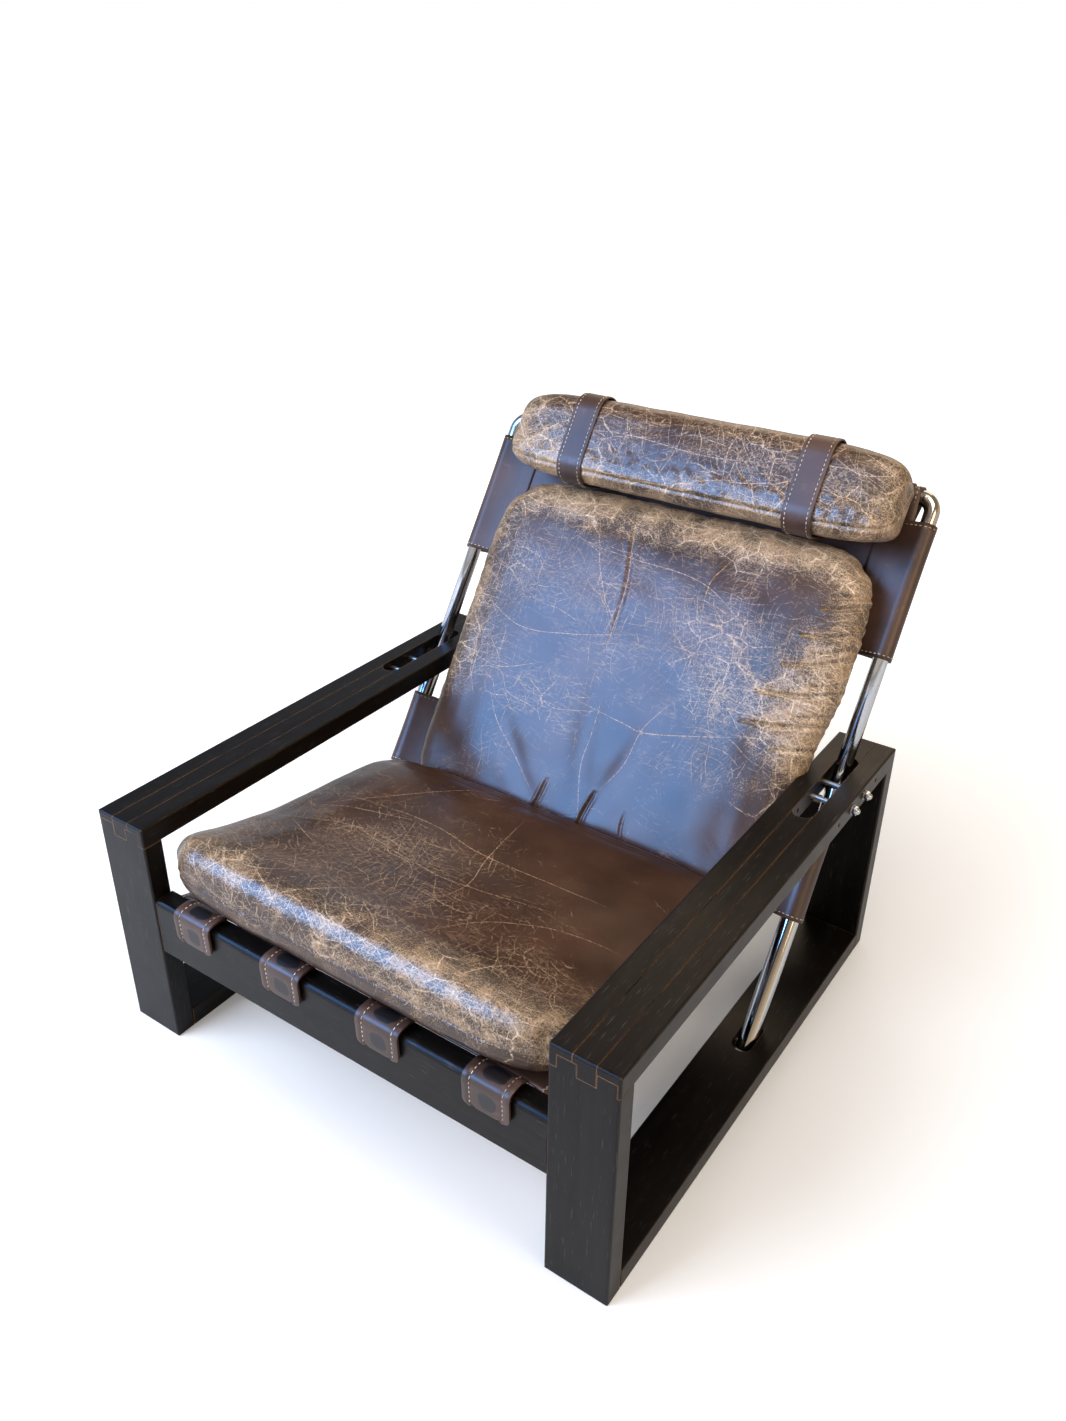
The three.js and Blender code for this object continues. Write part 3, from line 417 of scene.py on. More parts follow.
@dataclass(frozen=True)
class Metal:
    """Steel, bright chromed or zinc plated: a mirror with a haze, small pits and fine scuffs."""

    name: str
    bright: str
    dull: str
    smooth: float
    rough: float
    # Drawn coarser than real pits of about 0.3 mm, which would not show.
    pit_mm: float = 2.5

    def build(self) -> Material:
        """Make the material."""
        material, tree = new_material(self.name)
        place = add(tree, "TexCoord", out="Object")
        cloud = add(tree, "TexNoise", {"Vector": place, "Scale": 24.0, "Detail": 5.0})
        pits = add(tree, "TexNoise",
                   {"Vector": place, "Scale": 1000 / self.pit_mm, "Detail": 3.0})
        spots = add(tree, "MapRange", {"Value": pits, "From Min": 0.60, "From Max": 0.70})
        haze = add(tree, "MapRange", {"Value": cloud, "From Min": 0.40, "From Max": 0.68})
        marks = add(tree, "Math", {0: spots, 1: haze}, operation="MULTIPLY")
        colour = add(tree, "Mix", {0: marks, 6: srgb(self.bright), 7: srgb(self.dull)},
                     out=2, data_type="RGBA")
        gloss = add(tree, "MapRange",
                    {"Value": haze, "To Min": self.smooth, "To Max": self.rough})
        relief = add(tree, "Bump", {"Height": marks, "Strength": 0.15, "Distance": 0.1 * MM})
        close_material(tree, {"Base Color": colour, "Metallic": 1.0, "Roughness": gloss,
                              "Normal": relief})
        return material


@dataclass(frozen=True)
class MouldedPlastic:
    """Black moulded polyethylene: dull, with a faint sparked texture."""

    colour: str = "#19191b"
    # Drawn coarser than the real texture of about 0.2 mm, which would not show.
    spark_mm: float = 1.2

    def build(self) -> Material:
        """Make the material."""
        material, tree = new_material("moulded_polyethylene")
        place = add(tree, "TexCoord", out="Object")
        spark = add(tree, "TexNoise",
                    {"Vector": place, "Scale": 1000 / self.spark_mm, "Detail": 2.0})
        gloss = add(tree, "MapRange", {"Value": spark, "To Min": 0.45, "To Max": 0.65})
        relief = add(tree, "Bump", {"Height": spark, "Strength": 0.2, "Distance": 0.1 * MM})
        close_material(tree, {"Base Color": srgb(self.colour), "Roughness": gloss, "IOR": 1.5,
                              "Normal": relief})
        return material


@dataclass(frozen=True)
class SaddleLeather:
    """Thick dyed saddle leather: an even dark chocolate with a waxy sheen, a fine pebbled grain
    and a few scuffs. Where a piece has the attribute `patch`, in millimetres inside a patch's
    edge, its finish has darkened to nearly black."""

    name: str = "saddle_leather"
    dark: str = "#2f211b"
    light: str = "#523b31"
    rubbed: str = "#76543f"
    patch: str = "#0d0c0e"
    # Drawn coarser than the real pebbles of about 0.6 mm, which would not show.
    grain_mm: float = 1.8

    def build(self) -> Material:
        """Make the material."""
        material, tree = new_material(self.name)
        place = add(tree, "TexCoord", out="Object")
        tone = add(tree, "TexNoise", {"Vector": place, "Scale": 9.0, "Detail": 6.0})
        base = add(tree, "ValToRGB", {"Fac": tone},
                   stops=((0.3, srgb(self.dark)), (0.7, srgb(self.light))))
        scuffs = add(tree, "TexNoise", {"Vector": place, "Scale": 60.0, "Detail": 8.0})
        scuffed = add(tree, "MapRange",
                      {"Value": scuffs, "From Min": 0.62, "From Max": 0.8, "To Max": 0.5})
        colour = add(tree, "Mix", {0: scuffed, 6: base, 7: srgb(self.rubbed)}, out=2,
                     data_type="RGBA")
        inside = add(tree, "Attribute", out="Fac", attribute_name="patch")
        darkened = add(tree, "MapRange",
                       {"Value": inside, "From Min": 0.05, "From Max": 0.9, "To Max": 0.95})
        colour = add(tree, "Mix", {0: darkened, 6: colour, 7: srgb(self.patch)}, out=2,
                     data_type="RGBA")
        grain = add(tree, "TexVoronoi",
                    {"Vector": place, "Scale": 1000 / self.grain_mm}, out="Distance")
        gloss = add(tree, "MapRange", {"Value": tone, "To Min": 0.34, "To Max": 0.5})
        relief = add(tree, "Bump", {"Height": grain, "Strength": 0.1, "Distance": 0.3 * MM})
        close_material(tree,
                       {"Base Color": colour, "Roughness": gloss, "IOR": 1.48, "Normal": relief})
        return material


@dataclass(frozen=True)
class WornLeather:
    """Aniline cushion leather, worn for decades: a smooth dark brown with a waxy sheen where it
    is still whole, thin cream cracks and scratches over it, and dry, finely speckled edges that
    have lost their dye. The pieces' own attributes say where: `wear` for the speckled dryness,
    `crack` for the nets of cracks, `streak` for the scratches, and `mark` with `marked` for the
    longest single cracks, as the signed distance from one in millimetres and how clear it is."""

    dark: str = "#301d13"
    brown: str = "#4d3425"
    dulled: str = "#3b322b"
    dry: str = "#b3936f"
    crack: str = "#e2cdb4"
    fresh: str = "#caa47e"
    cell_mm: float = 34.0
    craze_mm: float = 12.0
    line_mm: float = 0.42
    wander_mm: float = 170.0
    ragged_mm: float = 3.5
    # Grain, specks and hairlines are under 0.8 mm apart on real hide; they are drawn coarser
    # here, because they would not show.
    grain_mm: float = 2.0
    speck_mm: float = 2.1
    hair_mm: float = 2.0

    def shown_where(self, tree: NodeTree, amount: NodeSocket, breaks: NodeSocket,
                    reach: float) -> NodeSocket:
        """One where a broken pattern shows.

        Args:
            tree: The material's tree.
            amount: How worn the leather is in the pattern's way, from nothing to one.
            breaks: A noise that breaks the pattern up.
            reach: How worn the leather must be to show half of the pattern.

        Returns:
            How much of the pattern shows, from nothing to one.
        """
        lifted = add(tree, "Math", {0: amount, 1: 0.4, 2: breaks}, operation="MULTIPLY_ADD")
        low = 0.44 + 0.4 * reach
        return add(tree, "MapRange", {"Value": lifted, "From Min": low, "From Max": low + 0.14})

    def cracks(self, tree: NodeTree, place: NodeSocket, ragged: NodeSocket, cracked: NodeSocket,
               size_mm: float, reach: float) -> tuple[NodeSocket, NodeSocket]:
        """One net of cracks along the edges of cells, broken up by noise.

        Args:
            tree: The material's tree.
            place: The place that the pattern is read at.
            ragged: A fine noise about nothing, in millimetres, that roughens the lines.
            cracked: How cracked the leather is, from nothing to one.
            size_mm: The size of a cell.
            reach: How cracked the leather must be to show half of the net.

        Returns:
            The lines, and a wider band along them.
        """
        stretched = add(tree, "Mapping", {"Vector": place, "Scale": (0.6, 1.0, 0.85)})
        cells = add(tree, "TexVoronoi", {"Vector": stretched, "Scale": 1000 / size_mm},
                    feature="DISTANCE_TO_EDGE")
        away = add(tree, "Math", {0: cells, 1: size_mm, 2: ragged}, operation="MULTIPLY_ADD")
        line = add(tree, "MapRange",
                   {"Value": away, "From Min": 2.2 * self.line_mm, "From Max": 0.0})
        band = add(tree, "MapRange", {"Value": away, "From Min": 4.0, "From Max": 0.0})
        breaks = add(tree, "TexNoise",
                     {"Vector": place, "Scale": 380 / size_mm, "Detail": 4.0, "Roughness": 0.65})
        shown = self.shown_where(tree, cracked, breaks, reach)
        lines = add(tree, "Math", {0: line, 1: shown}, operation="MULTIPLY")
        bands = add(tree, "Math", {0: band, 1: shown}, operation="MULTIPLY")
        return lines, bands

    def scratches(self, tree: NodeTree, place: NodeSocket, ragged: NodeSocket,
                  streaked: NodeSocket, across: tuple[float, float, float], spacing_mm: float,
                  seed: float, coming: float) -> NodeSocket:
        """Long thin scratches that wander side by side and come and go.

        Args:
            tree: The material's tree.
            place: The place that the pattern is read at.
            ragged: A fine noise about nothing, in millimetres, that roughens the lines.
            streaked: How scratched the leather is, from nothing to one.
            across: The direction across the scratches.
            spacing_mm: How far apart they lie.
            seed: Where the noises are taken.
            coming: How often they come and go in a metre.

        Returns:
            The scratches.
        """
        moved = add(tree, "VectorMath", {0: place, 1: (seed, seed, seed)})
        wander = add(tree, "TexNoise",
                     {"Vector": moved, "Scale": 1000 / self.wander_mm, "Detail": 1.5})
        per_metre = tuple(1000 / spacing_mm * part for part in across)
        straight = add(tree, "VectorMath", {0: place, 1: per_metre}, out="Value",
                       operation="DOT_PRODUCT")
        phase = add(tree, "Math", {0: wander, 1: 150 / spacing_mm, 2: straight},
                    operation="MULTIPLY_ADD")
        folded = add(tree, "Math", {0: phase, 1: 0.5}, operation="PINGPONG")
        away = add(tree, "Math", {0: folded, 1: spacing_mm, 2: ragged}, operation="MULTIPLY_ADD")
        line = add(tree, "MapRange",
                   {"Value": away, "From Min": 2.0 * self.line_mm, "From Max": 0.0})
        run = tuple(1.0 - 0.72 * (1.0 - abs(part)) for part in across)
        drawn = add(tree, "Mapping", {"Vector": moved, "Scale": run})
        breaks = add(tree, "TexNoise",
                     {"Vector": drawn, "Scale": coming, "Detail": 4.0, "Roughness": 0.6})
        shown = self.shown_where(tree, streaked, breaks, 0.62)
        return add(tree, "Math", {0: line, 1: shown}, operation="MULTIPLY")

    def hairlines(self, tree: NodeTree, place: NodeSocket, streaked: NodeSocket,
                  turn: float) -> NodeSocket:
        """A haze of short hairlines side by side.

        Args:
            tree: The material's tree.
            place: The place that the pattern is read at.
            streaked: How scratched the leather is, from nothing to one.
            turn: How far they are turned from lying across the chair, in radians.

        Returns:
            The hairlines.
        """
        drawn = add(tree, "Mapping",
                    {"Vector": place, "Scale": (0.14, 1.0, 0.7), "Rotation": (0.0, 0.0, turn)})
        hairs = add(tree, "TexNoise",
                    {"Vector": drawn, "Scale": 1000 / self.hair_mm, "Detail": 2.0})
        line = add(tree, "MapRange", {"Value": hairs, "From Min": 0.57, "From Max": 0.70})
        clouds = add(tree, "TexNoise", {"Vector": place, "Scale": 17.0, "Detail": 3.0})
        shown = self.shown_where(tree, streaked, clouds, 0.55)
        return add(tree, "Math", {0: line, 1: shown}, operation="MULTIPLY")

    def long_cracks(self, tree: NodeTree, ragged: NodeSocket) -> tuple[NodeSocket, NodeSocket]:
        """The longest cracks, which lie where the pieces' attributes put them.

        Args:
            tree: The material's tree.
            ragged: A fine noise about nothing, in millimetres, that roughens the lines.

        Returns:
            The lines, and a wider band along them.
        """
        mark = add(tree, "Attribute", out="Fac", attribute_name="mark")
        marked = add(tree, "Attribute", out="Fac", attribute_name="marked")
        side = add(tree, "Math", {0: mark}, operation="ABSOLUTE")
        away = add(tree, "Math", {0: side, 1: ragged}, operation="ADD")
        line = add(tree, "MapRange", {"Value": away, "From Min": 2.2 * self.line_mm,
                                      "From Max": 0.0})
        band = add(tree, "MapRange", {"Value": away, "From Min": 5.0, "From Max": 0.0})
        lines = add(tree, "Math", {0: line, 1: marked}, operation="MULTIPLY")
        bands = add(tree, "Math", {0: band, 1: marked}, operation="MULTIPLY")
        return lines, bands

    def dust(self, tree: NodeTree, place: NodeSocket, wear: NodeSocket,
             band: NodeSocket) -> NodeSocket:
        """Fine pale specks, thick at worn edges and thin along the cracks.

        Args:
            tree: The material's tree.
            place: The place that the pattern is read at.
            wear: How dry the leather is, from nothing to one.
            band: How near a crack lies, from nothing to one.

        Returns:
            The specks.
        """
        specks = add(tree, "TexNoise", {"Vector": place, "Scale": 1000 / self.speck_mm,
                                        "Detail": 2.0, "Roughness": 0.75})
        clouds = add(tree, "TexNoise", {"Vector": place, "Scale": 30.0, "Detail": 5.0})
        level = specks
        for part, share in ((band, 0.09), (clouds, 0.55), (wear, 0.32)):
            level = add(tree, "Math", {0: part, 1: share, 2: level}, operation="MULTIPLY_ADD")
        return add(tree, "MapRange",
                   {"Value": level, "From Min": 0.99, "From Max": 1.17, "To Max": 0.66})

    def build(self) -> Material:
        """Make the material."""
        material, tree = new_material("worn_aniline_leather")
        place = add(tree, "TexCoord", out="Object")
        wear = add(tree, "Attribute", out="Fac", attribute_name="wear")
        cracked = add(tree, "Attribute", out="Fac", attribute_name="crack")
        streaked = add(tree, "Attribute", out="Fac", attribute_name="streak")

        wander = add(tree, "TexNoise", {"Vector": place, "Scale": 16.0, "Detail": 3.0},
                     out="Color")
        pushed = add(tree, "VectorMath",
                     {0: wander, 1: (0.022, 0.022, 0.022), 2: place}, operation="MULTIPLY_ADD")
        rough_edge = add(tree, "TexNoise",
                         {"Vector": place, "Scale": 1000 / self.ragged_mm, "Detail": 2.0})
        ragged = add(tree, "MapRange",
                     {"Value": rough_edge, "To Min": -1.2, "To Max": 1.5}, clamp=False)
        long, band = self.long_cracks(tree, ragged)
        marks = [(long, 0.85)]
        for size_mm, reach, weight in ((self.cell_mm, 0.5, 0.8), (self.craze_mm, 0.72, 0.5)):
            lines, bands = self.cracks(tree, pushed, ragged, cracked, size_mm, reach)
            marks.append((lines, weight))
            band = add(tree, "Math", {0: band, 1: bands}, operation="MAXIMUM")
        for across, spacing_mm, seed, coming, weight in (
            ((0.05, 0.80, 0.55), 19.0, 0.0, 30.0, 0.65),
            ((0.93, 0.30, -0.20), 24.0, 2.3, 30.0, 0.65),
            ((0.68, 0.60, 0.40), 31.0, 5.1, 30.0, 0.65),
            ((0.45, -0.72, -0.50), 11.0, 7.7, 55.0, 0.42),
            ((0.84, -0.45, -0.30), 14.0, 9.1, 55.0, 0.42),
            ((0.25, 0.82, 0.52), 10.0, 11.3, 55.0, 0.42),
            ((0.97, 0.15, 0.12), 12.0, 13.9, 55.0, 0.42),
        ):
            scratch = self.scratches(
                tree, place, ragged, streaked, across, spacing_mm, seed, coming
            )
            marks.append((scratch, weight))
        for turn in (0.15, 1.25):
            marks.append((self.hairlines(tree, place, streaked, turn), 0.24))
        net = None
        for mark, weight in marks:
            part = add(tree, "Math", {0: mark, 1: weight}, operation="MULTIPLY")
            if net is None:
                net = part
            else:
                net = add(tree, "Math", {0: net, 1: part}, operation="MAXIMUM")
        dust = self.dust(tree, place, wear, band)

        tone = add(tree, "TexNoise", {"Vector": place, "Scale": 7.0, "Detail": 5.0})
        whole = add(tree, "ValToRGB", {"Fac": tone},
                    stops=((0.32, srgb(self.dark)), (0.68, srgb(self.brown))))
        dulled = add(tree, "Mix", {0: wear, 6: whole, 7: srgb(self.dulled)}, out=2,
                     data_type="RGBA")
        speckled = add(tree, "Mix", {0: dust, 6: dulled, 7: srgb(self.dry)}, out=2,
                       data_type="RGBA")
        line_colour = add(tree, "Mix", {0: wear, 6: srgb(self.fresh), 7: srgb(self.crack)}, out=2,
                          data_type="RGBA")
        colour = add(tree, "Mix", {0: net, 6: speckled, 7: line_colour}, out=2, data_type="RGBA")
        matt = add(tree, "Math", {0: dust, 1: net}, operation="MAXIMUM")
        gloss = add(tree, "MapRange", {"Value": matt, "To Min": 0.30, "To Max": 0.50})
        grain = add(tree, "TexVoronoi", {"Vector": place, "Scale": 1000 / self.grain_mm},
                    out="Distance")
        fine = add(tree, "Bump", {"Height": grain, "Strength": 0.10, "Distance": 0.3 * MM})
        relief = add(tree, "Bump", {"Height": net, "Strength": 0.3, "Distance": 0.4 * MM,
                                    "Normal": fine}, invert=True)
        close_material(tree, {"Base Color": colour, "Roughness": gloss, "IOR": 1.48,
                              "Normal": relief})
        return material


@dataclass(frozen=True)
class WaxedThread:
    """Waxed linen thread: matt cream stitches, darkened here and there by handling."""

    cream: str = "#e6dac2"
    soiled: str = "#b09a7e"

    def build(self) -> Material:
        """Make the material."""
        material, tree = new_material("waxed_linen_thread")
        place = add(tree, "TexCoord", out="Object")
        soil = add(tree, "TexNoise", {"Vector": place, "Scale": 70.0, "Detail": 3.0})
        colour = add(tree, "ValToRGB", {"Fac": soil},
                     stops=((0.35, srgb(self.soiled)), (0.6, srgb(self.cream))))
        close_material(tree, {"Base Color": colour, "Roughness": 0.7, "IOR": 1.5})
        return material


@dataclass
class FinishSet:
    """Every finish of the chair, built once."""

    wood: dict[Grain, Material] = field(default_factory=dict)

    def __post_init__(self) -> None:
        """Build the materials."""
        self.wood = {grain: EbonisedWood(grain).build() for grain in Grain}
        self.beech = BareBeech().build()
        self.chrome = Metal("chrome_plate", "#b9bcc0", "#6a6456", smooth=0.07, rough=0.24).build()
        self.zinc = Metal("zinc_plate", "#b4b6b8", "#77746e", smooth=0.25, rough=0.45).build()
        self.plastic = MouldedPlastic().build()
        self.saddle = SaddleLeather().build()
        self.worn = WornLeather().build()
        self.thread = WaxedThread().build()


# The photographer's place and the studio


@dataclass(frozen=True)
class ViewFromFront:
    """The camera: above the chair's right front corner, looking down at it."""

    place: tuple[float, float, float] = (0.8858, -1.3207, 1.3754)
    azimuth_deg: float = 34.574
    elevation_deg: float = 29.344
    roll_deg: float = 0.614
    lens_mm: float = 29.62
    sensor_mm: float = 36.0

    def build(self) -> Object:
        """Make the camera and make it the scene's."""
        azimuth = math.radians(self.azimuth_deg)
        elevation = math.radians(self.elevation_deg)
        roll = math.radians(self.roll_deg)
        back = Vector((math.sin(azimuth) * math.cos(elevation),
                       -math.cos(azimuth) * math.cos(elevation), math.sin(elevation)))
        level = (-back).cross(Vector((0, 0, 1))).normalized()
        raised = level.cross(-back)
        right = math.cos(roll) * level + math.sin(roll) * raised
        up = math.cos(roll) * raised - math.sin(roll) * level
        turn = Matrix((right, up, back)).transposed().to_4x4()
        data = bpy.data.cameras.new("view_from_front")
        data.lens = self.lens_mm
        data.sensor_width = self.sensor_mm
        data.clip_start, data.clip_end = 0.05, 60.0
        camera = bpy.data.objects.new("view_from_front", data)
        camera.matrix_world = Matrix.Translation(self.place) @ turn
        bpy.context.scene.collection.objects.link(camera)
        bpy.context.scene.camera = camera
        return camera


@dataclass(frozen=True)
class Studio:
    """A pale floor and soft lamps, the largest one cool like a north window."""

    floor_half: float = 12.0
    floor_colour: str = "#e9e9e9"
    floor_glow: tuple[float, float] = (0.12, 0.80)
    floor_mirrored: float = 0.3
    shadow_reach: tuple[float, float] = (0.45, 1.8)
    room_level: float = 0.35
    wall_rise: tuple[float, float] = (0.12, 0.5)
    cool: str = "#72b3ff"
    warm: str = "#ffe0ba"
    cool_wall: str = "#d6e0ee"
    warm_wall: str = "#ffdcb0"
    tint_share: float = 0.3
    light_share: float = 0.66
    white: str = "#ffffff"

    def lamp(
        self,
        name: str,
        place: Sequence[float],
        aim: Sequence[float],
        size: tuple[float, float],
        power: float,
        colour: str,
    ) -> None:
        """Hang one rectangular lamp: a nearly white one that lights the chair, and just before
        it the tinted one that the chair mirrors.

        Args:
            name: The lamp's name.
            place: Where it hangs.
            aim: The point that it faces.
            size: Its width and height.
            power: Its power in watts.
            colour: Its hex colour.
        """
        tint = Vector(srgb(colour)[:3])
        pale = Vector((1, 1, 1)).lerp(tint, self.tint_share)
        direction = Vector(aim) - Vector(place)
        for part, shade, share, nearer in (
            ("light", pale, self.light_share, 0.0),
            ("sheen", tint, 1.0, 0.02),
        ):
            data = bpy.data.lights.new(f"{name}_{part}", "AREA")
            data.shape = "RECTANGLE"
            data.size, data.size_y = size
            data.energy = power * share
            data.color = shade
            light = bpy.data.objects.new(data.name, data)
            light.location = Vector(place) + direction * nearer
            light.rotation_euler = direction.to_track_quat("-Z", "Y").to_euler()
            light.visible_diffuse = part == "light"
            light.visible_glossy = part == "sheen"
            bpy.context.scene.collection.objects.link(light)

    def seen_directly(self, tree: NodeTree, low_part: NodeSocket | float) -> NodeSocket:
        """One where a ray from the camera, or one mirrored or let through, meets a surface."""
        camera_ray = add(tree, "LightPath", out="Is Camera Ray")
        rays = camera_ray.node.outputs
        mirrored = add(tree, "Math", {0: rays["Is Glossy Ray"], 1: rays["Is Transmission Ray"]},
                       operation="MAXIMUM")
        mirrored = add(tree, "Math", {0: mirrored, 1: low_part}, operation="MULTIPLY")
        return add(tree, "Math", {0: camera_ray, 1: mirrored}, operation="MAXIMUM")

    def floor(self) -> None:
        """Lay the floor, which shows white with the chair's soft shadow."""
        half = self.floor_half
        corners = [(-half, -half, 0), (half, -half, 0), (half, half, 0), (-half, half, 0)]
        floor = new_piece("studio_floor", corners, [(0, 1, 2, 3)])
        material, tree = new_material("pale_studio_floor")
        paint = add(tree, "BsdfPrincipled",
                    {"Base Color": srgb(self.floor_colour), "Roughness": 0.9})
        place = add(tree, "TexCoord", out="Object")
        distance = add(tree, "VectorMath", {0: place}, out="Value", operation="LENGTH")
        level = add(
            tree,
            "MapRange",
            {"Value": distance, "From Min": self.shadow_reach[0],
             "From Max": self.shadow_reach[1], "To Min": self.floor_glow[0],
             "To Max": self.floor_glow[1]},
        )
        glow = add(tree, "Emission", {"Color": srgb(self.white), "Strength": level})
        lit = add(tree, "AddShader", {0: paint, 1: glow})
        shown = add(tree, "MixShader",
                    {0: self.seen_directly(tree, self.floor_mirrored), 1: paint, 2: lit})
        add(tree, "OutputMaterial", {"Surface": shown})
        floor.data.materials.append(material)

    def room(self) -> None:
        """Light the world evenly and show it white; the chair mirrors pale walls, cool on its
        left and warm on its right, and a dim ceiling."""
        world = bpy.data.worlds.new("pale_room")
        world.use_nodes = True
        world.node_tree.nodes.clear()
        tree = world.node_tree
        direction = add(tree, "TexCoord", out="Generated")
        height = add(tree, "SeparateXYZ", {0: direction}, out="Z")
        side = add(tree, "MapRange",
                   {"Value": height.node.outputs["X"], "From Min": -0.5, "From Max": 0.5})
        walls = add(tree, "Mix", {0: side, 6: srgb(self.cool_wall), 7: srgb(self.warm_wall)},
                    out=2, data_type="RGBA")
        camera_ray = add(tree, "LightPath", out="Is Camera Ray")
        colour = add(tree, "Mix", {0: camera_ray, 6: walls, 7: srgb(self.white)}, out=2,
                     data_type="RGBA")
        low_part = add(tree, "MapRange", {"Value": height, "From Min": self.wall_rise[1],
                                          "From Max": self.wall_rise[0]})
        shown = self.seen_directly(tree, low_part)
        level = add(tree, "MapRange", {"Value": shown, "To Min": self.room_level, "To Max": 1.0})
        background = add(tree, "Background", {"Color": colour, "Strength": level})
        add(tree, "OutputWorld", {"Surface": background})
        bpy.context.scene.world = world

    def build(self) -> None:
        """Lay the floor, light the room and hang the lamps."""
        self.floor()
        self.room()
        middle = (0.0, 0.0, 0.35)
        window = (-1.7, -2.5, 2.2)
        self.lamp("north_window", window, middle, (2.8, 2.3), 275, self.cool)
        self.lamp("warm_top", (0.8, -0.3, 3.2), middle, (1.6, 1.6), 55, self.warm)
        self.lamp("right_fill", (3.0, -0.6, 1.8), middle, (1.4, 1.8), 34, self.warm)
        self.lamp("rear_fill", (-0.4, 2.6, 2.4), middle, (2.4, 1.4), 25, self.warm)


# Timber


@dataclass
class TimberFrame:
    """The side frames, the cross rails and their dowels, which keep the frame's own meshes."""

    finishes: FinishSet

    def build(self) -> None:
        """Give each board the finish whose grain runs along it."""
        runs = {"_lath": Grain.ALONG, "bottom_board": Grain.ALONG, "_post": Grain.UPRIGHT,
                "_rail": Grain.ACROSS}
        for name, node in frame["nodes"].items():
            if "_dowel_" in name:
                dress(node, self.finishes.beech)
                continue
            for part, grain in runs.items():
                if part in name and "strap" not in name:
                    dress(node, self.finishes.wood[grain])


def dress(node: Object, material: Material) -> None:
    """Give a kept node its finish."""
    node.data.materials.clear()
    node.data.materials.append(material)


# Metalwork


@dataclass
class BackTubes:
    """The chromed hoop and the two thicker tubes that its legs slide into."""

    finishes: FinishSet
    centre_x: float = 0.40125
    crossbar_reach: float = 0.907
    bend_radius: float = 0.024
    upper_radius: float = 0.0125
    lower_radius: float = 0.015
    wall: float = 0.0022
    junction_reach: float = 0.42613
    foot_reach: float = -0.007
    telescope: float = 0.08
    lip: float = 0.0008
    sides: int = 40
    bend_steps: int = 14

    def hoop(self) -> Object:
        """The upper tube, one ring at each station of its path."""
        stations: list[tuple[ndarray, ndarray]] = []
        foot = self.junction_reach - self.telescope
        bend_x = self.centre_x - self.bend_radius
        bend_s = self.crossbar_reach - self.bend_radius
        for side in (-1, 1):
            arc = []
            for step in range(self.bend_steps + 1):
                angle = math.pi / 2 * step / self.bend_steps
                point = np.array([side * (bend_x + self.bend_radius * math.sin(angle)), 0.0,
                                  bend_s + self.bend_radius * math.cos(angle)])
                aim = np.array([math.cos(angle), 0.0, -side * math.sin(angle)])
                arc.append((point, aim))
            stations += arc[::-1] if side < 0 else arc
        stations.insert(0, (np.array([-self.centre_x, 0, foot]), np.array([0.0, 0, 1.0])))
        stations.append((np.array([self.centre_x, 0, foot]), np.array([0.0, 0, -1.0])))
        rows = []
        for radius in (self.upper_radius, self.upper_radius - self.wall):
            for point, aim in stations:
                side_way = np.cross([0.0, 1.0, 0.0], aim)
                for step in range(self.sides):
                    turn = 2 * math.pi * step / self.sides
                    rows.append(point + radius * math.cos(turn) * np.array([0.0, 1.0, 0.0])
                                + radius * math.sin(turn) * side_way)
        count = len(stations)
        faces = skin_faces(count, self.sides, round_points=True)
        inner = [tuple(index + count * self.sides for index in reversed(face)) for face in faces]
        rims = []
        for station in (0, count - 1):
            for here in range(self.sides):
                there = (here + 1) % self.sides
                outer = (station * self.sides + here, station * self.sides + there)
                rims.append((outer[0], outer[1], outer[1] + count * self.sides,
                             outer[0] + count * self.sides))
        piece = new_piece(
            "chromed_hoop", BACK.place(rows), faces + inner + rims, self.finishes.chrome
        )
        outward(piece)
        return piece

    def lower_tube(self, side: int) -> Object:
        """One thick tube with a rolled lip at its open top."""
        lip = self.lip
        inner = self.lower_radius - self.wall
        profile = [
            (self.lower_radius, self.foot_reach),
            (self.lower_radius, self.junction_reach - 2 * lip),
            (self.lower_radius - 0.3 * lip, self.junction_reach - 0.6 * lip),
            (self.lower_radius - lip, self.junction_reach),
            (inner + 0.3 * lip, self.junction_reach),
            (inner, self.junction_reach - lip),
            (inner, self.foot_reach),
        ]
        points = []
        for radius, reach in profile:
            for step in range(self.sides):
                turn = 2 * math.pi * step / self.sides
                points.append((side * self.centre_x + radius * math.cos(turn),
                               radius * math.sin(turn), reach))
        faces = skin_faces(len(profile), self.sides, True, True)
        name = "right" if side > 0 else "left"
        piece = new_piece(f"{name}_thick_tube", BACK.place(points), faces, self.finishes.chrome)
        outward(piece)
        piece.data.set_sharp_from_angle(angle=math.radians(50))
        return piece

    def build(self) -> None:
        """Make the tubes and dress the plugs, pins and screws."""
        hoop = self.hoop()
        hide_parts("back_hoop")
        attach(hoop, "back")
        for side, name in ((1, "right"), (-1, "left")):
            tube = self.lower_tube(side)
            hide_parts(f"{name}_lower_tube")
            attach(tube, "back")
            dress(frame["nodes"][f"{name}_foot_plug"], self.finishes.plastic)
            dress(frame["nodes"][f"{name}_pivot_pin"], self.finishes.zinc)
            dress(frame["nodes"][f"{name}_corner_screw"], self.finishes.zinc)


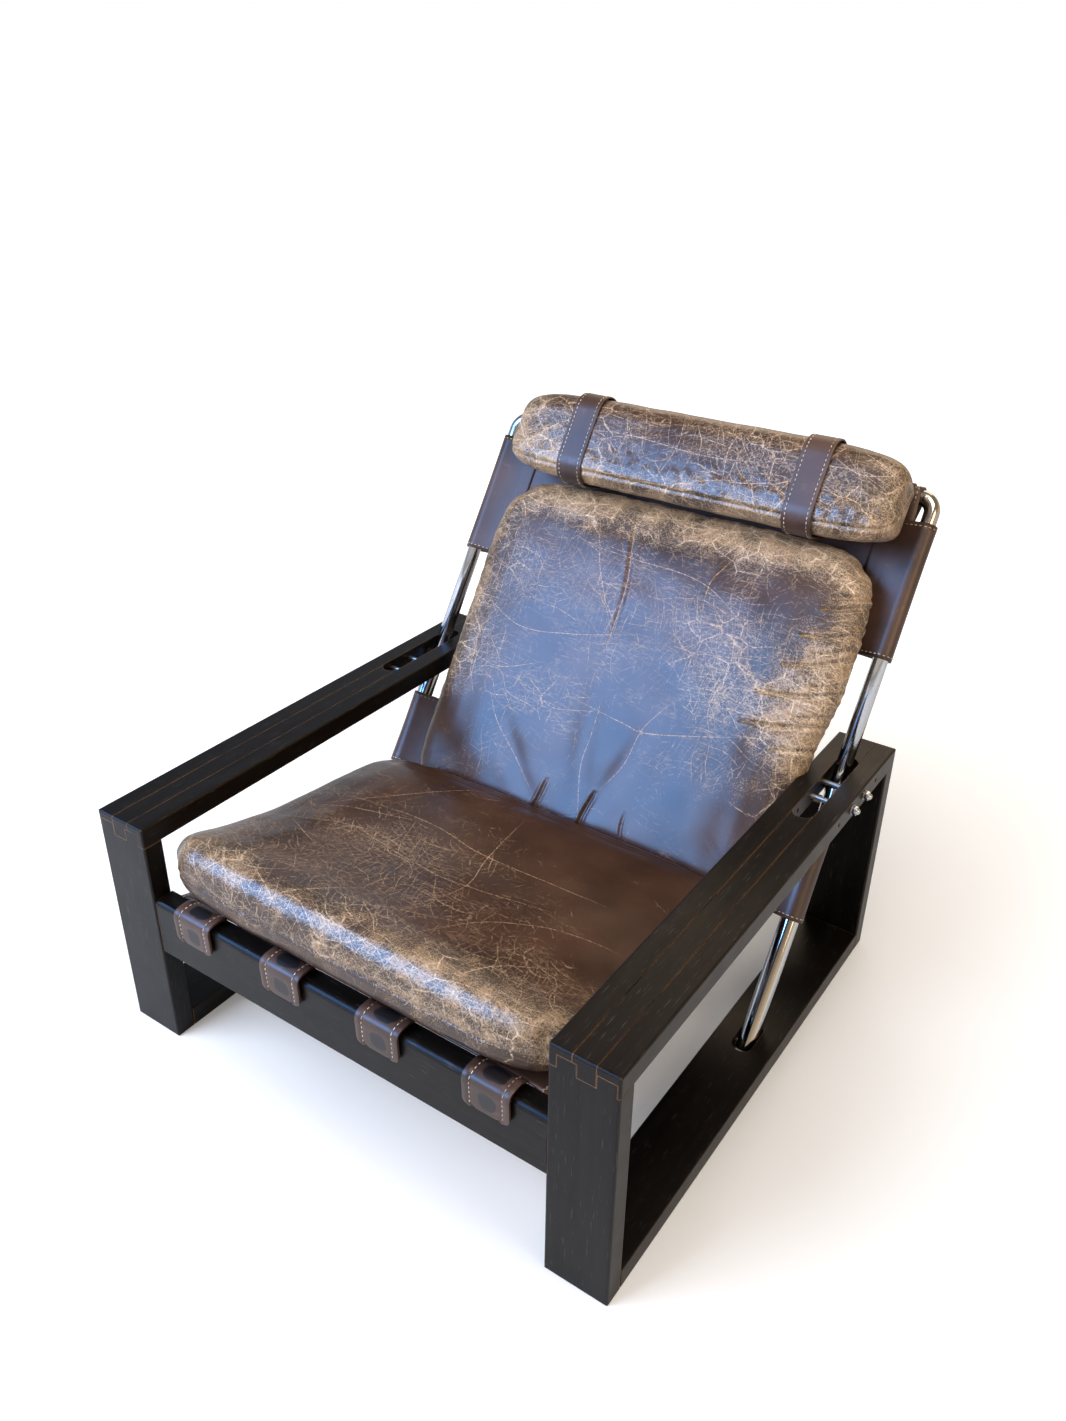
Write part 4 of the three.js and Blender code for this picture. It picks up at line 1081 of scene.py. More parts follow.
@dataclass
class ClampBolts:
    """The cross bolts: a rod, a washer and a domed cap nut, turned finer than the frame's."""

    finishes: FinishSet
    across_flats: float = 0.013
    nut_height: float = 0.0065
    chamfer: float = 0.0008
    dome_radius: float = 0.0056
    bolt_radius: float = 0.004
    washer_radius: float = 0.008
    steps: int = 48

    def turned(self, name: str, profile: Sequence[tuple[float, float]], centre: Vector, side: int,
               hexagon_until: float, material: Material) -> Object:
        """A piece turned about X, held inside a hexagon up to a height.

        Args:
            name: The piece's name.
            profile: Its (height, radius) points from one end to the other.
            centre: Where its height is nothing, on the axis.
            side: One for the right of the chair and minus one for the left.
            hexagon_until: The height up to which the hexagon cuts it.
            material: Its finish.

        Returns:
            The closed piece.
        """
        points = []
        for height, radius in profile:
            for step in range(self.steps):
                turn = 2 * math.pi * step / self.steps
                reach = radius
                if height <= hexagon_until:
                    sixth = math.pi / 3
                    face_turn = (turn % sixth) - sixth / 2
                    reach = min(reach, self.across_flats / 2 / math.cos(face_turn))
                points.append((centre.x + side * height, centre.y + reach * math.cos(turn),
                               centre.z + reach * math.sin(turn)))
        faces = list(skin_faces(len(profile), self.steps, round_points=True))
        last = (len(profile) - 1) * self.steps
        faces.append(tuple(range(self.steps)))
        faces.append(tuple(last + step for step in range(self.steps)))
        piece = new_piece(name, points, faces, material)
        outward(piece)
        piece.data.set_sharp_from_angle(angle=math.radians(28))
        return piece

    def nut(self, name: str, centre: Vector, side: int) -> Object:
        """The domed cap nut."""
        corner = self.across_flats / math.sqrt(3)
        flat = self.across_flats / 2
        high = self.nut_height
        dome_base = high - self.chamfer
        profile = [(0.0, flat * 0.7), (0.0, flat * 0.97), (self.chamfer, corner),
                   (high / 2, corner), (high - self.chamfer, corner), (high, flat * 0.97),
                   (high, self.dome_radius * 1.02)]
        for step in range(0, 9):
            angle = math.pi / 2 * step / 8.5
            profile.append((max(dome_base + self.dome_radius * math.sin(angle), high) + 0.01 * MM,
                            self.dome_radius * math.cos(angle)))
        return self.turned(name, profile, centre, side, high, self.finishes.chrome)

    def build(self) -> None:
        """Make each bolt's three pieces."""
        for side, side_name, number in ((1, "right", 2), (1, "right", 3), (-1, "left", 1),
                                        (-1, "left", 2)):
            node = f"{side_name}_bolt_{number}"
            body = f"bolt_{side_name}_{number}"
            dress(frame["nodes"][node], self.finishes.zinc)
            low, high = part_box(f"{node}_cap_nut")
            centre = (low + high) / 2
            centre.x = low.x if side > 0 else high.x
            nut = self.nut(f"{side_name}_domed_nut_{number}", centre, side)
            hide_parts(f"{node}_cap_nut")
            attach(nut, body)
            low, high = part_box(f"{node}_washer")
            centre = (low + high) / 2
            centre.x = low.x if side > 0 else high.x
            thick = high.x - low.x
            profile = [(0.0, self.bolt_radius * 1.08), (0.0, self.washer_radius * 0.96),
                       (thick * 0.2, self.washer_radius), (thick * 0.8, self.washer_radius),
                       (thick, self.washer_radius * 0.96), (thick, self.bolt_radius * 1.08)]
            washer = self.turned(f"{side_name}_plate_washer_{number}", profile, centre, side,
                                 -1.0, self.finishes.zinc)
            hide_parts(f"{node}_washer")
            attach(washer, body)


# Stitching


@dataclass
class Stitcher:
    """Rows of thread laid along lines by one geometry tree."""

    finishes: FinishSet
    pitch: float = 0.0078
    length: float = 0.0052
    width: float = 0.0014
    tree: NodeTree | None = None

    def __post_init__(self) -> None:
        """Build the tree: line, even points, one stitch at each, turned along the line."""
        tree = bpy.data.node_groups.new("stitch_row", "GeometryNodeTree")
        face = tree.interface
        face.new_socket("Geometry", in_out="INPUT", socket_type="NodeSocketGeometry")
        for name, value in (("Pitch", self.pitch), ("Length", self.length),
                            ("Width", self.width)):
            socket = face.new_socket(name, in_out="INPUT", socket_type="NodeSocketFloat")
            socket.default_value = value
        face.new_socket("Geometry", in_out="OUTPUT", socket_type="NodeSocketGeometry")
        given = tree.nodes.new("NodeGroupInput").outputs
        curve = add(tree, "GeometryNodeMeshToCurve", {0: given["Geometry"]})
        even = add(tree, "GeometryNodeResampleCurve", {"Curve": curve, "Length": given["Pitch"]},
                   mode="LENGTH")
        tangent = add(tree, "GeometryNodeInputTangent")
        turned = add(tree, "FunctionNodeAlignRotationToVector", {"Vector": tangent}, axis="X")
        bead = add(tree, "GeometryNodeMeshUVSphere", {"Segments": 6, "Rings": 4, "Radius": 0.5})
        size = add(tree, "CombineXYZ", {0: given["Length"], 1: given["Width"], 2: given["Width"]})
        placed = add(tree, "GeometryNodeInstanceOnPoints",
                     {"Points": even, "Instance": bead, "Rotation": turned, "Scale": size})
        real = add(tree, "GeometryNodeRealizeInstances", {0: placed})
        smooth = add(tree, "GeometryNodeSetShadeSmooth", {0: real})
        finished = add(tree, "GeometryNodeSetMaterial",
                       {0: smooth, "Material": self.finishes.thread})
        output = tree.nodes.new("NodeGroupOutput")
        tree.links.new(finished, output.inputs["Geometry"])
        self.tree = tree

    def rows(self, name: str, lines: Sequence[ndarray], body: str, slot: str) -> Object:
        """Sew rows of stitches.

        Args:
            name: The piece's name.
            lines: Each row's points in the row frame.
            body: The body that they ride on, or nothing where they bend between two.
            slot: The record's material slot; it is not used.

        Returns:
            All the rows as one plain mesh.
        """
        points: list[Sequence[float]] = []
        edges: list[tuple[int, int]] = []
        for line in lines:
            start = len(points)
            points += [tuple(p) for p in line]
            edges += [(start + i, start + i + 1) for i in range(len(line) - 1)]
        mesh = bpy.data.meshes.new(name)
        mesh.from_pydata(points, edges, [])
        piece = bpy.data.objects.new(name, mesh)
        bpy.context.scene.collection.objects.link(piece)
        modifier = piece.modifiers.new("stitches", "NODES")
        modifier.node_group = self.tree
        values = {"Pitch": self.pitch, "Length": self.length, "Width": self.width}
        for item in self.tree.interface.items_tree:
            if item.in_out == "INPUT" and item.name in values:
                modifier[item.identifier] = values[item.name]
        made_solid(piece)
        if body:
            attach(piece, body)
        return piece


# Slings and straps


def spline(points: Sequence[Sequence[float]], steps: int) -> ndarray:
    """A smooth line through points, the same as the frame's seat line.

    Args:
        points: The points that it goes through.
        steps: How many steps each stretch takes.

    Returns:
        The line's points.
    """
    knots = np.array(points, float)
    last = len(knots) - 1
    line = []
    for stretch in range(last):
        p0, p1 = knots[max(stretch - 1, 0)], knots[stretch]
        p2, p3 = knots[stretch + 1], knots[min(stretch + 2, last)]
        before, after = (p2 - p0) / 2, (p3 - p1) / 2
        for step in range(steps):
            t = step / steps
            line.append(
                (2 * p1 - 2 * p2 + before + after) * t**3
                + (-3 * p1 + 3 * p2 - 2 * before - after) * t**2
                + before * t
                + p1
            )
    line.append(knots[last])
    return np.array(line)


def spaced(line: ndarray, count: int) -> ndarray:
    """A line's points set at equal distances along it."""
    steps = np.linalg.norm(np.diff(line, axis=0), axis=1)
    reach = np.concatenate([[0.0], np.cumsum(steps)])
    wanted = np.linspace(0.0, reach[-1], count)
    return np.stack([np.interp(wanted, reach, line[:, axis]) for axis in range(line.shape[1])], 1)


def run_of(line: ndarray) -> float:
    """The length of a line."""
    return float(np.linalg.norm(np.diff(line, axis=0), axis=1).sum())


def line_normals(line: ndarray) -> ndarray:
    """Unit normals, to the left of a line drawn in a plane."""
    ahead = np.gradient(line, axis=0)
    ahead /= np.linalg.norm(ahead, axis=1)[:, None]
    return np.stack([-ahead[:, 1], ahead[:, 0]], 1)


@dataclass
class SeatLine:
    """The hanging line of the seat sling in (y, z), as the frame has it."""

    front_y: float = -0.509884
    rail_top: float = 0.272
    lift: float = 0.014
    dip: float = 0.0139
    join_reach: float = 0.2
    run_shares: tuple[float, ...] = (0, 0.19, 0.38, 0.6, 0.77, 0.88, 0.96)
    drop_shares: tuple[float, ...] = (0, 0.28, 0.54, 0.77, 0.93, 1, 0.98)

    def points(self) -> ndarray:
        """The line's points from above the rail to the foot of the back."""
        join = BACK.place(np.array([[0, 0, self.join_reach]]))[0]
        depth = join[1] - self.front_y
        start = self.rail_top + self.lift
        sag = start - (join[2] - self.dip)
        knots = [(self.front_y + run * depth, start - drop * sag)
                 for run, drop in zip(self.run_shares, self.drop_shares)]
        knots.append((join[1], join[2]))
        return spline(knots, 24)


SEAT_LINE = SeatLine().points()


@dataclass
class SeatSling:
    """The leather sheet that the seat cushion lies in."""

    finishes: FinishSet
    stitcher: Stitcher
    half_width: float = 0.332
    thickness: float = 0.003
    hem_y: float = -0.4768
    bend_from: tuple[float, float, float] = (0.0, -0.20, 0.2)
    bend_to: tuple[float, float, float] = (0.0, 0.09, 0.2)
    across: int = 60
    along: int = 90
    curl: float = 0.004
    hem_inset: float = 0.007

    def surface(self) -> tuple[ndarray, ndarray]:
        """The sheet's middle line and its normals in (y, z)."""
        line = SEAT_LINE[SEAT_LINE[:, 0] >= self.hem_y]
        line = spaced(line, self.along)
        normals = line_normals(line)
        return line - normals * self.thickness / 2, normals

    def build(self) -> Object:
        """Make the sheet with slightly curled side hems, and its stitches."""
        line, normals = self.surface()
        points = []
        for point, normal in zip(line, normals):
            for step in range(self.across + 1):
                share = 2 * step / self.across - 1
                x = share * self.half_width
                y, z = point - normal * self.curl * max(abs(share) - 0.93, 0) / 0.07
                points.append((x, y, z))
        faces = skin_faces(self.along, self.across + 1)
        sheet = new_piece("seat_sling_sheet", points, faces, self.finishes.saddle)
        outward(thickened(sheet, self.thickness))
        rows = []
        for side in (-1, 1):
            x = side * (self.half_width - self.hem_inset)
            lifted = line + normals * (self.thickness / 2 - 0.0001)
            under = line - normals * (self.thickness / 2 - 0.0001)
            for level in (lifted, under):
                rows.append(np.column_stack([np.full(len(level), x), level[:, 0], level[:, 1]]))
        thread = self.stitcher.rows("seat_sling_stitches", rows, "", "sling_leather")
        for piece in (sheet, thread):
            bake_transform(piece)
        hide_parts("seat_sling")
        return sheet


@dataclass
class BackSling:
    """The sheet behind the back cushion, with sleeves sewn round the tubes and the crossbar."""

    finishes: FinishSet
    stitcher: Stitcher
    centre_x: float = 0.40125
    sheet_half: float = 0.340
    start: float = 0.202
    lower: tuple[float, float] = (0.209, 0.348)
    upper: tuple[float, float] = (0.641, 0.865)
    crossbar: float = 0.907
    top_half: float = 0.363
    wrap_half: float = 0.3795
    seam_run: float = 0.038
    leather: float = 0.0028
    upper_radius: float = 0.0125
    lower_radius: float = 0.015
    ease: float = 0.0006
    lap: float = 0.012
    top_lap: float = 0.03
    hem_inset: float = 0.006
    layer_share: float = 0.8

    def sleeve(self, side: int, stations: Sequence[float], radii: Sequence[float],
               inner: Sequence[float]) -> tuple[list[tuple[float, float, float]], int]:
        """The rings of one sleeve, each from the sheet's front round the tube to its rear.

        Args:
            side: One for the right tube and minus one for the left.
            stations: How far up each ring lies.
            radii: The leather's middle radius at each ring.
            inner: How far across the chair each ring starts.

        Returns:
            The rings' points in (x, n, s), and the number of points of a ring.
        """
        points = []
        count = 0
        for reach, radius, start_x in zip(stations, radii, inner):
            seam_x = self.centre_x - self.seam_run - 0.4 * (radius - self.upper_radius)
            run = self.centre_x - seam_x
            lift = math.acos(min(radius / run, 1.0))
            ring = []
            half = self.leather / 2
            for step in range(6):
                share = step / 6
                ring.append((start_x + (seam_x - start_x) * share, half))
            steps = 26
            begin = math.pi - lift
            for step in range(steps + 1):
                turn = begin - (2 * math.pi - 2 * lift) * step / steps
                ring.append((self.centre_x + radius * math.cos(turn), radius * math.sin(turn)))
            for step in range(6):
                share = (step + 1) / 6
                ring.append((seam_x + (start_x - seam_x) * share, -half))
            count = len(ring)
            points += [(side * x, n, reach) for x, n in ring]
        return points, count

    def build(self) -> Object:
        """Make the sheet, four sleeves, the layers round the crossbar and the stitches."""
        parts = []
        inner_x = self.sheet_half - self.lap
        upper_mid = self.upper_radius + self.ease + self.leather / 2
        lower_mid = self.lower_radius + self.ease + self.leather / 2
        for side in (-1, 1):
            for (low, high), radius, flare in (
                (self.lower, lower_mid, 0.0015),
                (self.upper, upper_mid, 0.0010),
            ):
                count = 24
                stations = np.linspace(low, high, count)
                share = np.linspace(0, 1, count)
                radii = radius + flare * (1 - share) ** 2 + 0.0006 * share**4
                inner = np.full(count, inner_x)
                points, size = self.sleeve(side, stations, radii, inner)
                piece = new_piece("sleeve", BACK.place(points), skin_faces(count, size),
                                  self.finishes.saddle)
                parts.append(thickened(piece, self.leather))
        rows = 70
        columns = 56
        top = self.crossbar - self.top_lap
        points = []
        for row in range(rows):
            reach = self.start + (top - self.start) * row / (rows - 1)
            beside = self.lower[0] <= reach <= self.lower[1]
            above = self.upper[0] <= reach
            half = self.sheet_half + (self.lap if beside or above else 0.0)
            for column in range(columns + 1):
                x = half * (2 * column / columns - 1)
                points.append((x, 0.0, reach))
        sheet = new_piece("sheet", BACK.place(points), skin_faces(rows, columns + 1),
                          self.finishes.saddle)
        parts.append(thickened(sheet, self.leather))
        length = self.crossbar - self.seam_run - self.top_lap - self.start
        for half, radius, flare, roll_back in (
            (self.wrap_half, 0.0142, 0.0035, 0.030),
            (self.top_half, 0.0166, 0.0055, 0.022),
        ):
            layer, run = self.wrap(half, radius, flare, roll_back)
            length += run
            parts.append(thickened(layer, self.leather * self.layer_share))
        whole = joined("back_sling_sheet", parts)
        thread = self.stitches()
        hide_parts("back_sling")
        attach(whole, "back")
        return whole

    def wrap(self, half: float, radius: float, flare: float,
             roll_back: float) -> tuple[Object, float]:
        """One loose layer wrapped round the crossbar and sewn down behind it.

        Args:
            half: Half of its length.
            radius: The leather's middle radius.
            flare: How much wider its ends stand, away from the head cushion.
            roll_back: How much farther down its rear end reaches.

        Returns:
            The layer, drawn as its middle, and its run round the crossbar.
        """
        columns = 72
        steps = 34
        points = []
        size = 0
        for column in range(columns + 1):
            share = 2 * column / columns - 1
            x = share * half
            grown = flare * smooth_step(np.array(abs(x)), half - 0.03, half).item()
            run = self.seam_run
            lift = math.acos(radius / run)
            ring = [(self.leather / 2, self.crossbar - run - self.top_lap + 0.006 * step)
                    for step in range(5)]
            begin = -math.pi / 2 + lift
            for step in range(steps + 1):
                turn = begin + (2 * math.pi - 2 * lift) * step / steps
                out = radius + grown * (0.5 - 0.5 * math.cos(turn))
                ring.append((out * math.cos(turn), self.crossbar + out * math.sin(turn)))
            ring += [(-self.leather / 2, self.crossbar - run - roll_back * step / 5)
                     for step in range(1, 6)]
            size = len(ring)
            points += [(x, n, s) for n, s in ring]
        piece = new_piece("wrap", BACK.place(points), skin_faces(columns + 1, size),
                          self.finishes.saddle)
        return piece, run_of(np.array(points[size * columns // 2 :][:size]))

    def stitches(self) -> Object:
        """The rows near the sleeves' hems."""
        rows = []
        inset = self.hem_inset
        upper_mid = self.upper_radius + self.ease + self.leather + 0.0002
        lower_mid = self.lower_radius + self.ease + self.leather + 0.0002
        for side in (-1, 1):
            for reach, radius in (
                (self.upper[0] + inset, upper_mid + 0.0009),
                (self.upper[1] - inset, upper_mid + 0.0005),
                (self.lower[0] + inset, lower_mid + 0.0012),
                (self.lower[1] - inset, lower_mid),
            ):
                points, _ = self.sleeve(side, [reach], [radius], [self.sheet_half])
                ring = []
                for x, n, s in points:
                    straight = abs(x) < self.centre_x - 0.036
                    shift = math.copysign(self.leather / 2, n) if straight else 0.0
                    ring.append((x, n + shift, s))
                rows.append(BACK.place(ring))
        for side in (-1, 1):
            for half, radius in ((self.wrap_half, 0.0170), (self.top_half, 0.0190)):
                ring = []
                for step in range(41):
                    turn = math.radians(-50 + 280 * step / 40)
                    out = radius + 0.003 * (0.5 - 0.5 * math.cos(turn))
                    ring.append((side * (half - inset), out * math.cos(turn),
                                 self.crossbar + out * math.sin(turn)))
                rows.append(BACK.place(ring))
        return self.stitcher.rows("back_sling_stitches", rows, "back", "sling_leather")


@dataclass
class RailStraps:
    """The four folded tabs that hold the seat sling on the front rail."""

    finishes: FinishSet
    stitcher: Stitcher
    half_width: float = 0.036
    thickness: float = 0.005
    row_inset: float = 0.0105
    across: int = 24
    face_y: float = -0.5158
    rail_top: float = 0.272
    top_z: float = 0.284
    low_z: float = 0.231
    rear_y: float = -0.4766
    corner: float = 0.009
    patches: tuple[tuple[float, float, float, float], ...] = (
        (0.002, 0.019, 0.019, 0.013),
        (0.003, 0.066, 0.014, 0.014),
    )

    def profile(self) -> ndarray:
        """The tab's outer line in (y, z): over the rail's top and down its front."""
        knots = [(self.rear_y, self.top_z - 0.006), (self.rear_y - 0.010, self.top_z - 0.001),
                 (self.rear_y - 0.020, self.top_z - 0.0005),
                 (self.face_y + 0.011, self.top_z - 0.001),
                 (self.face_y + 0.003, self.top_z - 0.005),
                 (self.face_y + 0.0002, self.top_z - 0.013),
                 (self.face_y + 0.0006, self.top_z - 0.026),
                 (self.face_y + 0.0010, self.low_z + 0.012), (self.face_y + 0.0014, self.low_z)]
        return spaced(spline(knots, 10), 44)

    def patch(self, x: float, reach: float, middle: float) -> float:
        """How far a place lies inside a darkened patch, in millimetres.

        Args:
            x: The place's distance from the tab's middle.
            reach: Its distance along the tab from its rear end.
            middle: Where the tab's middle lies.

        Returns:
            A distance, negative outside.
        """
        deepest = -9.0
        for centre_x, centre, half_x, half in self.patches:
            wave = noise.noise(Vector((x / 0.012, reach / 0.012, middle * 40)))
            ratio = abs((x - centre_x) / half_x) ** 2.6 + abs((reach - centre) / half) ** 2.6
            inside = (1 - ratio ** (1 / 2.6)) * min(half_x, half) * 1000 + 3.2 * wave
            deepest = max(deepest, inside)
        return deepest

    def tab(self, name: str, middle: float) -> tuple[Object, list[ndarray]]:
        """One tab with rounded lower corners and raised edges, and the lines of its stitches."""
        line = self.profile()
        normals = -line_normals(line)
        reach = np.concatenate([[0.0], np.cumsum(np.linalg.norm(np.diff(line, axis=0), axis=1))])
        left = reach[-1] - reach
        points = []
        patches = []
        for row in range(len(line)):
            inset = 0.0
            if left[row] < self.corner:
                inset = self.corner - math.sqrt(self.corner**2 - (self.corner - left[row]) ** 2)
            half = self.half_width - inset
            for step in range(self.across + 1):
                share = math.sin(math.pi / 2 * (2 * step / self.across - 1))
                x = share * half
                edge = bell(np.array(half - abs(x) - 0.0045), 0.0045)
                seam = bell(np.array(half - abs(x) - self.row_inset), 0.0022)
                rise = 0.0010 * float(edge) - 0.0010 * float(seam)
                y, z = line[row] - normals[row] * (self.thickness / 2 - rise)
                points.append((middle + x, y, z))
                patches.append(self.patch(x, float(reach[row]), middle))
        faces = skin_faces(len(line), self.across + 1)
        piece = new_piece(name, points, faces, self.finishes.saddle)
        set_attribute(piece.data, "patch", np.array(patches))
        outward(thickened(piece, self.thickness, 0.4, 3))
        rows = []
        lifted = line - normals * 0.0006
        keep = left > 0.006
        for side in (-1, 1):
            x = middle + side * (self.half_width - self.row_inset)
            rows.append(
                np.column_stack([np.full(keep.sum(), x), lifted[keep, 0], lifted[keep, 1]])
            )
        return piece, rows

    def build(self) -> None:
        """Make the four tabs."""
        for number in range(1, 5):
            low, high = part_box(f"rail_strap_{number}")
            middle = (low.x + high.x) / 2
            piece, rows = self.tab(f"rail_tab_{number}", middle)
            thread = self.stitcher.rows(
                f"rail_tab_stitches_{number}", rows, "frame", "sling_leather"
            )
            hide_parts(f"rail_strap_{number}")
            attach(piece, "frame")


def belt(
    circles: Sequence[tuple[float, float, float]], offset: float, step_deg: float = 6.0
) -> ndarray:
    """The closed line of a belt drawn tight round circles.

    Args:
        circles: Each circle's centre and radius in a plane, listed anticlockwise.
        offset: How far outside the circles the line lies.
        step_deg: The turn between two points on a circle.

    Returns:
        The line's points, without the first one again at the end.
    """
    count = len(circles)

    def tangent(index: int) -> float:
        u0, v0, r0 = circles[index % count]
        u1, v1, r1 = circles[(index + 1) % count]
        gap = math.hypot(u1 - u0, v1 - v0)
        return math.atan2(v1 - v0, u1 - u0) - math.acos((r0 - r1) / gap)

    line = []
    for index, (u, v, radius) in enumerate(circles):
        start = tangent(index + count - 1)
        end = tangent(index)
        while end < start:
            end += 2 * math.pi
        steps = max(int(math.degrees(end - start) / step_deg), 1)
        for step in range(steps + 1):
            turn = start + (end - start) * step / steps
            line.append((u + (radius + offset) * math.cos(turn),
                         v + (radius + offset) * math.sin(turn)))
    return np.array(line)


@dataclass
class HeadStraps:
    """The two belts that hold the head cushion to the crossbar."""

    finishes: FinishSet
    stitcher: Stitcher
    width: float = 0.05
    thickness: float = 0.003
    row_inset: float = 0.0064
    middles: tuple[float, float] = (0.234, -0.190)
    cushion_face: float = 0.120
    cushion_top: float = 0.945
    cushion_foot: float = 0.789
    corner: float = 0.035
    slit_corner: float = 0.020
    slit_rise: float = 0.014
    crossbar: float = 0.907
    crossbar_face: float = 0.0183

    def circles(self) -> list[tuple[float, float, float]]:
        """The circles in (-n, s) that a belt is drawn round."""
        front = -self.cushion_face + self.corner
        slit = self.cushion_foot + self.slit_corner + self.slit_rise
        return [(front, self.cushion_top - self.corner, self.corner),
                (front, self.cushion_foot + self.corner, self.corner),
                (-self.crossbar_face - self.slit_corner, slit, self.slit_corner),
                (0.0, self.crossbar, self.crossbar_face)]

    def build(self) -> None:
        """Make both belts."""
        line = belt(self.circles(), 0.0003 + self.thickness / 2, 4.0)
        ring = np.vstack([line, line[:1]])
        line = spaced(ring, 240)[:-1]
        ahead = np.roll(line, -1, 0) - np.roll(line, 1, 0)
        ahead /= np.linalg.norm(ahead, axis=1)[:, None]
        normals = np.stack([ahead[:, 1], -ahead[:, 0]], 1)
        across = 12
        for name, middle in zip(("right", "left"), self.middles):
            points = []
            for point, normal in zip(line, normals):
                for step in range(across + 1):
                    share = 2 * step / across - 1
                    x = middle + share * self.width / 2
                    edge = self.width / 2 * (1 - abs(share))
                    seam = bell(np.array(edge - self.row_inset), 0.002)
                    m, s = point - normal * 0.0004 * float(seam)
                    points.append((x, -m, s))
            faces = skin_faces(len(line), across + 1, round_rows=True)
            piece = new_piece(
                f"{name}_head_belt", BACK.place(points), faces, self.finishes.saddle
            )
            outward(thickened(piece, self.thickness, 0.35))
            rows = []
            lifted = line + normals * (self.thickness / 2 + 0.0002)
            lifted = np.vstack([lifted, lifted[:1]])
            for side in (-1, 1):
                x = middle + side * (self.width / 2 - self.row_inset)
                rows.append(BACK.place(np.column_stack([np.full(len(lifted), x), -lifted[:, 0],
                                                        lifted[:, 1]])))
            thread = self.stitcher.rows(
                f"{name}_head_belt_stitches", rows, "back", "sling_leather"
            )
            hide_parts(f"{name}_head_strap")
            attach(piece, "back")


# Cushions


@dataclass(frozen=True)
class Fold:
    """A pressed or worn fold: a valley along a line on a cushion's face.

    Attributes:
        points: The line in the cushion's own two face coordinates.
        depth: How deep the valley is.
        width: Its half width.
        swell: How high the leather stands beside it, as a share of the depth.
    """

    points: tuple[tuple[float, float], ...]
    depth: float
    width: float
    swell: float = 0.4


LongCrack = tuple[tuple[float, float], ...]


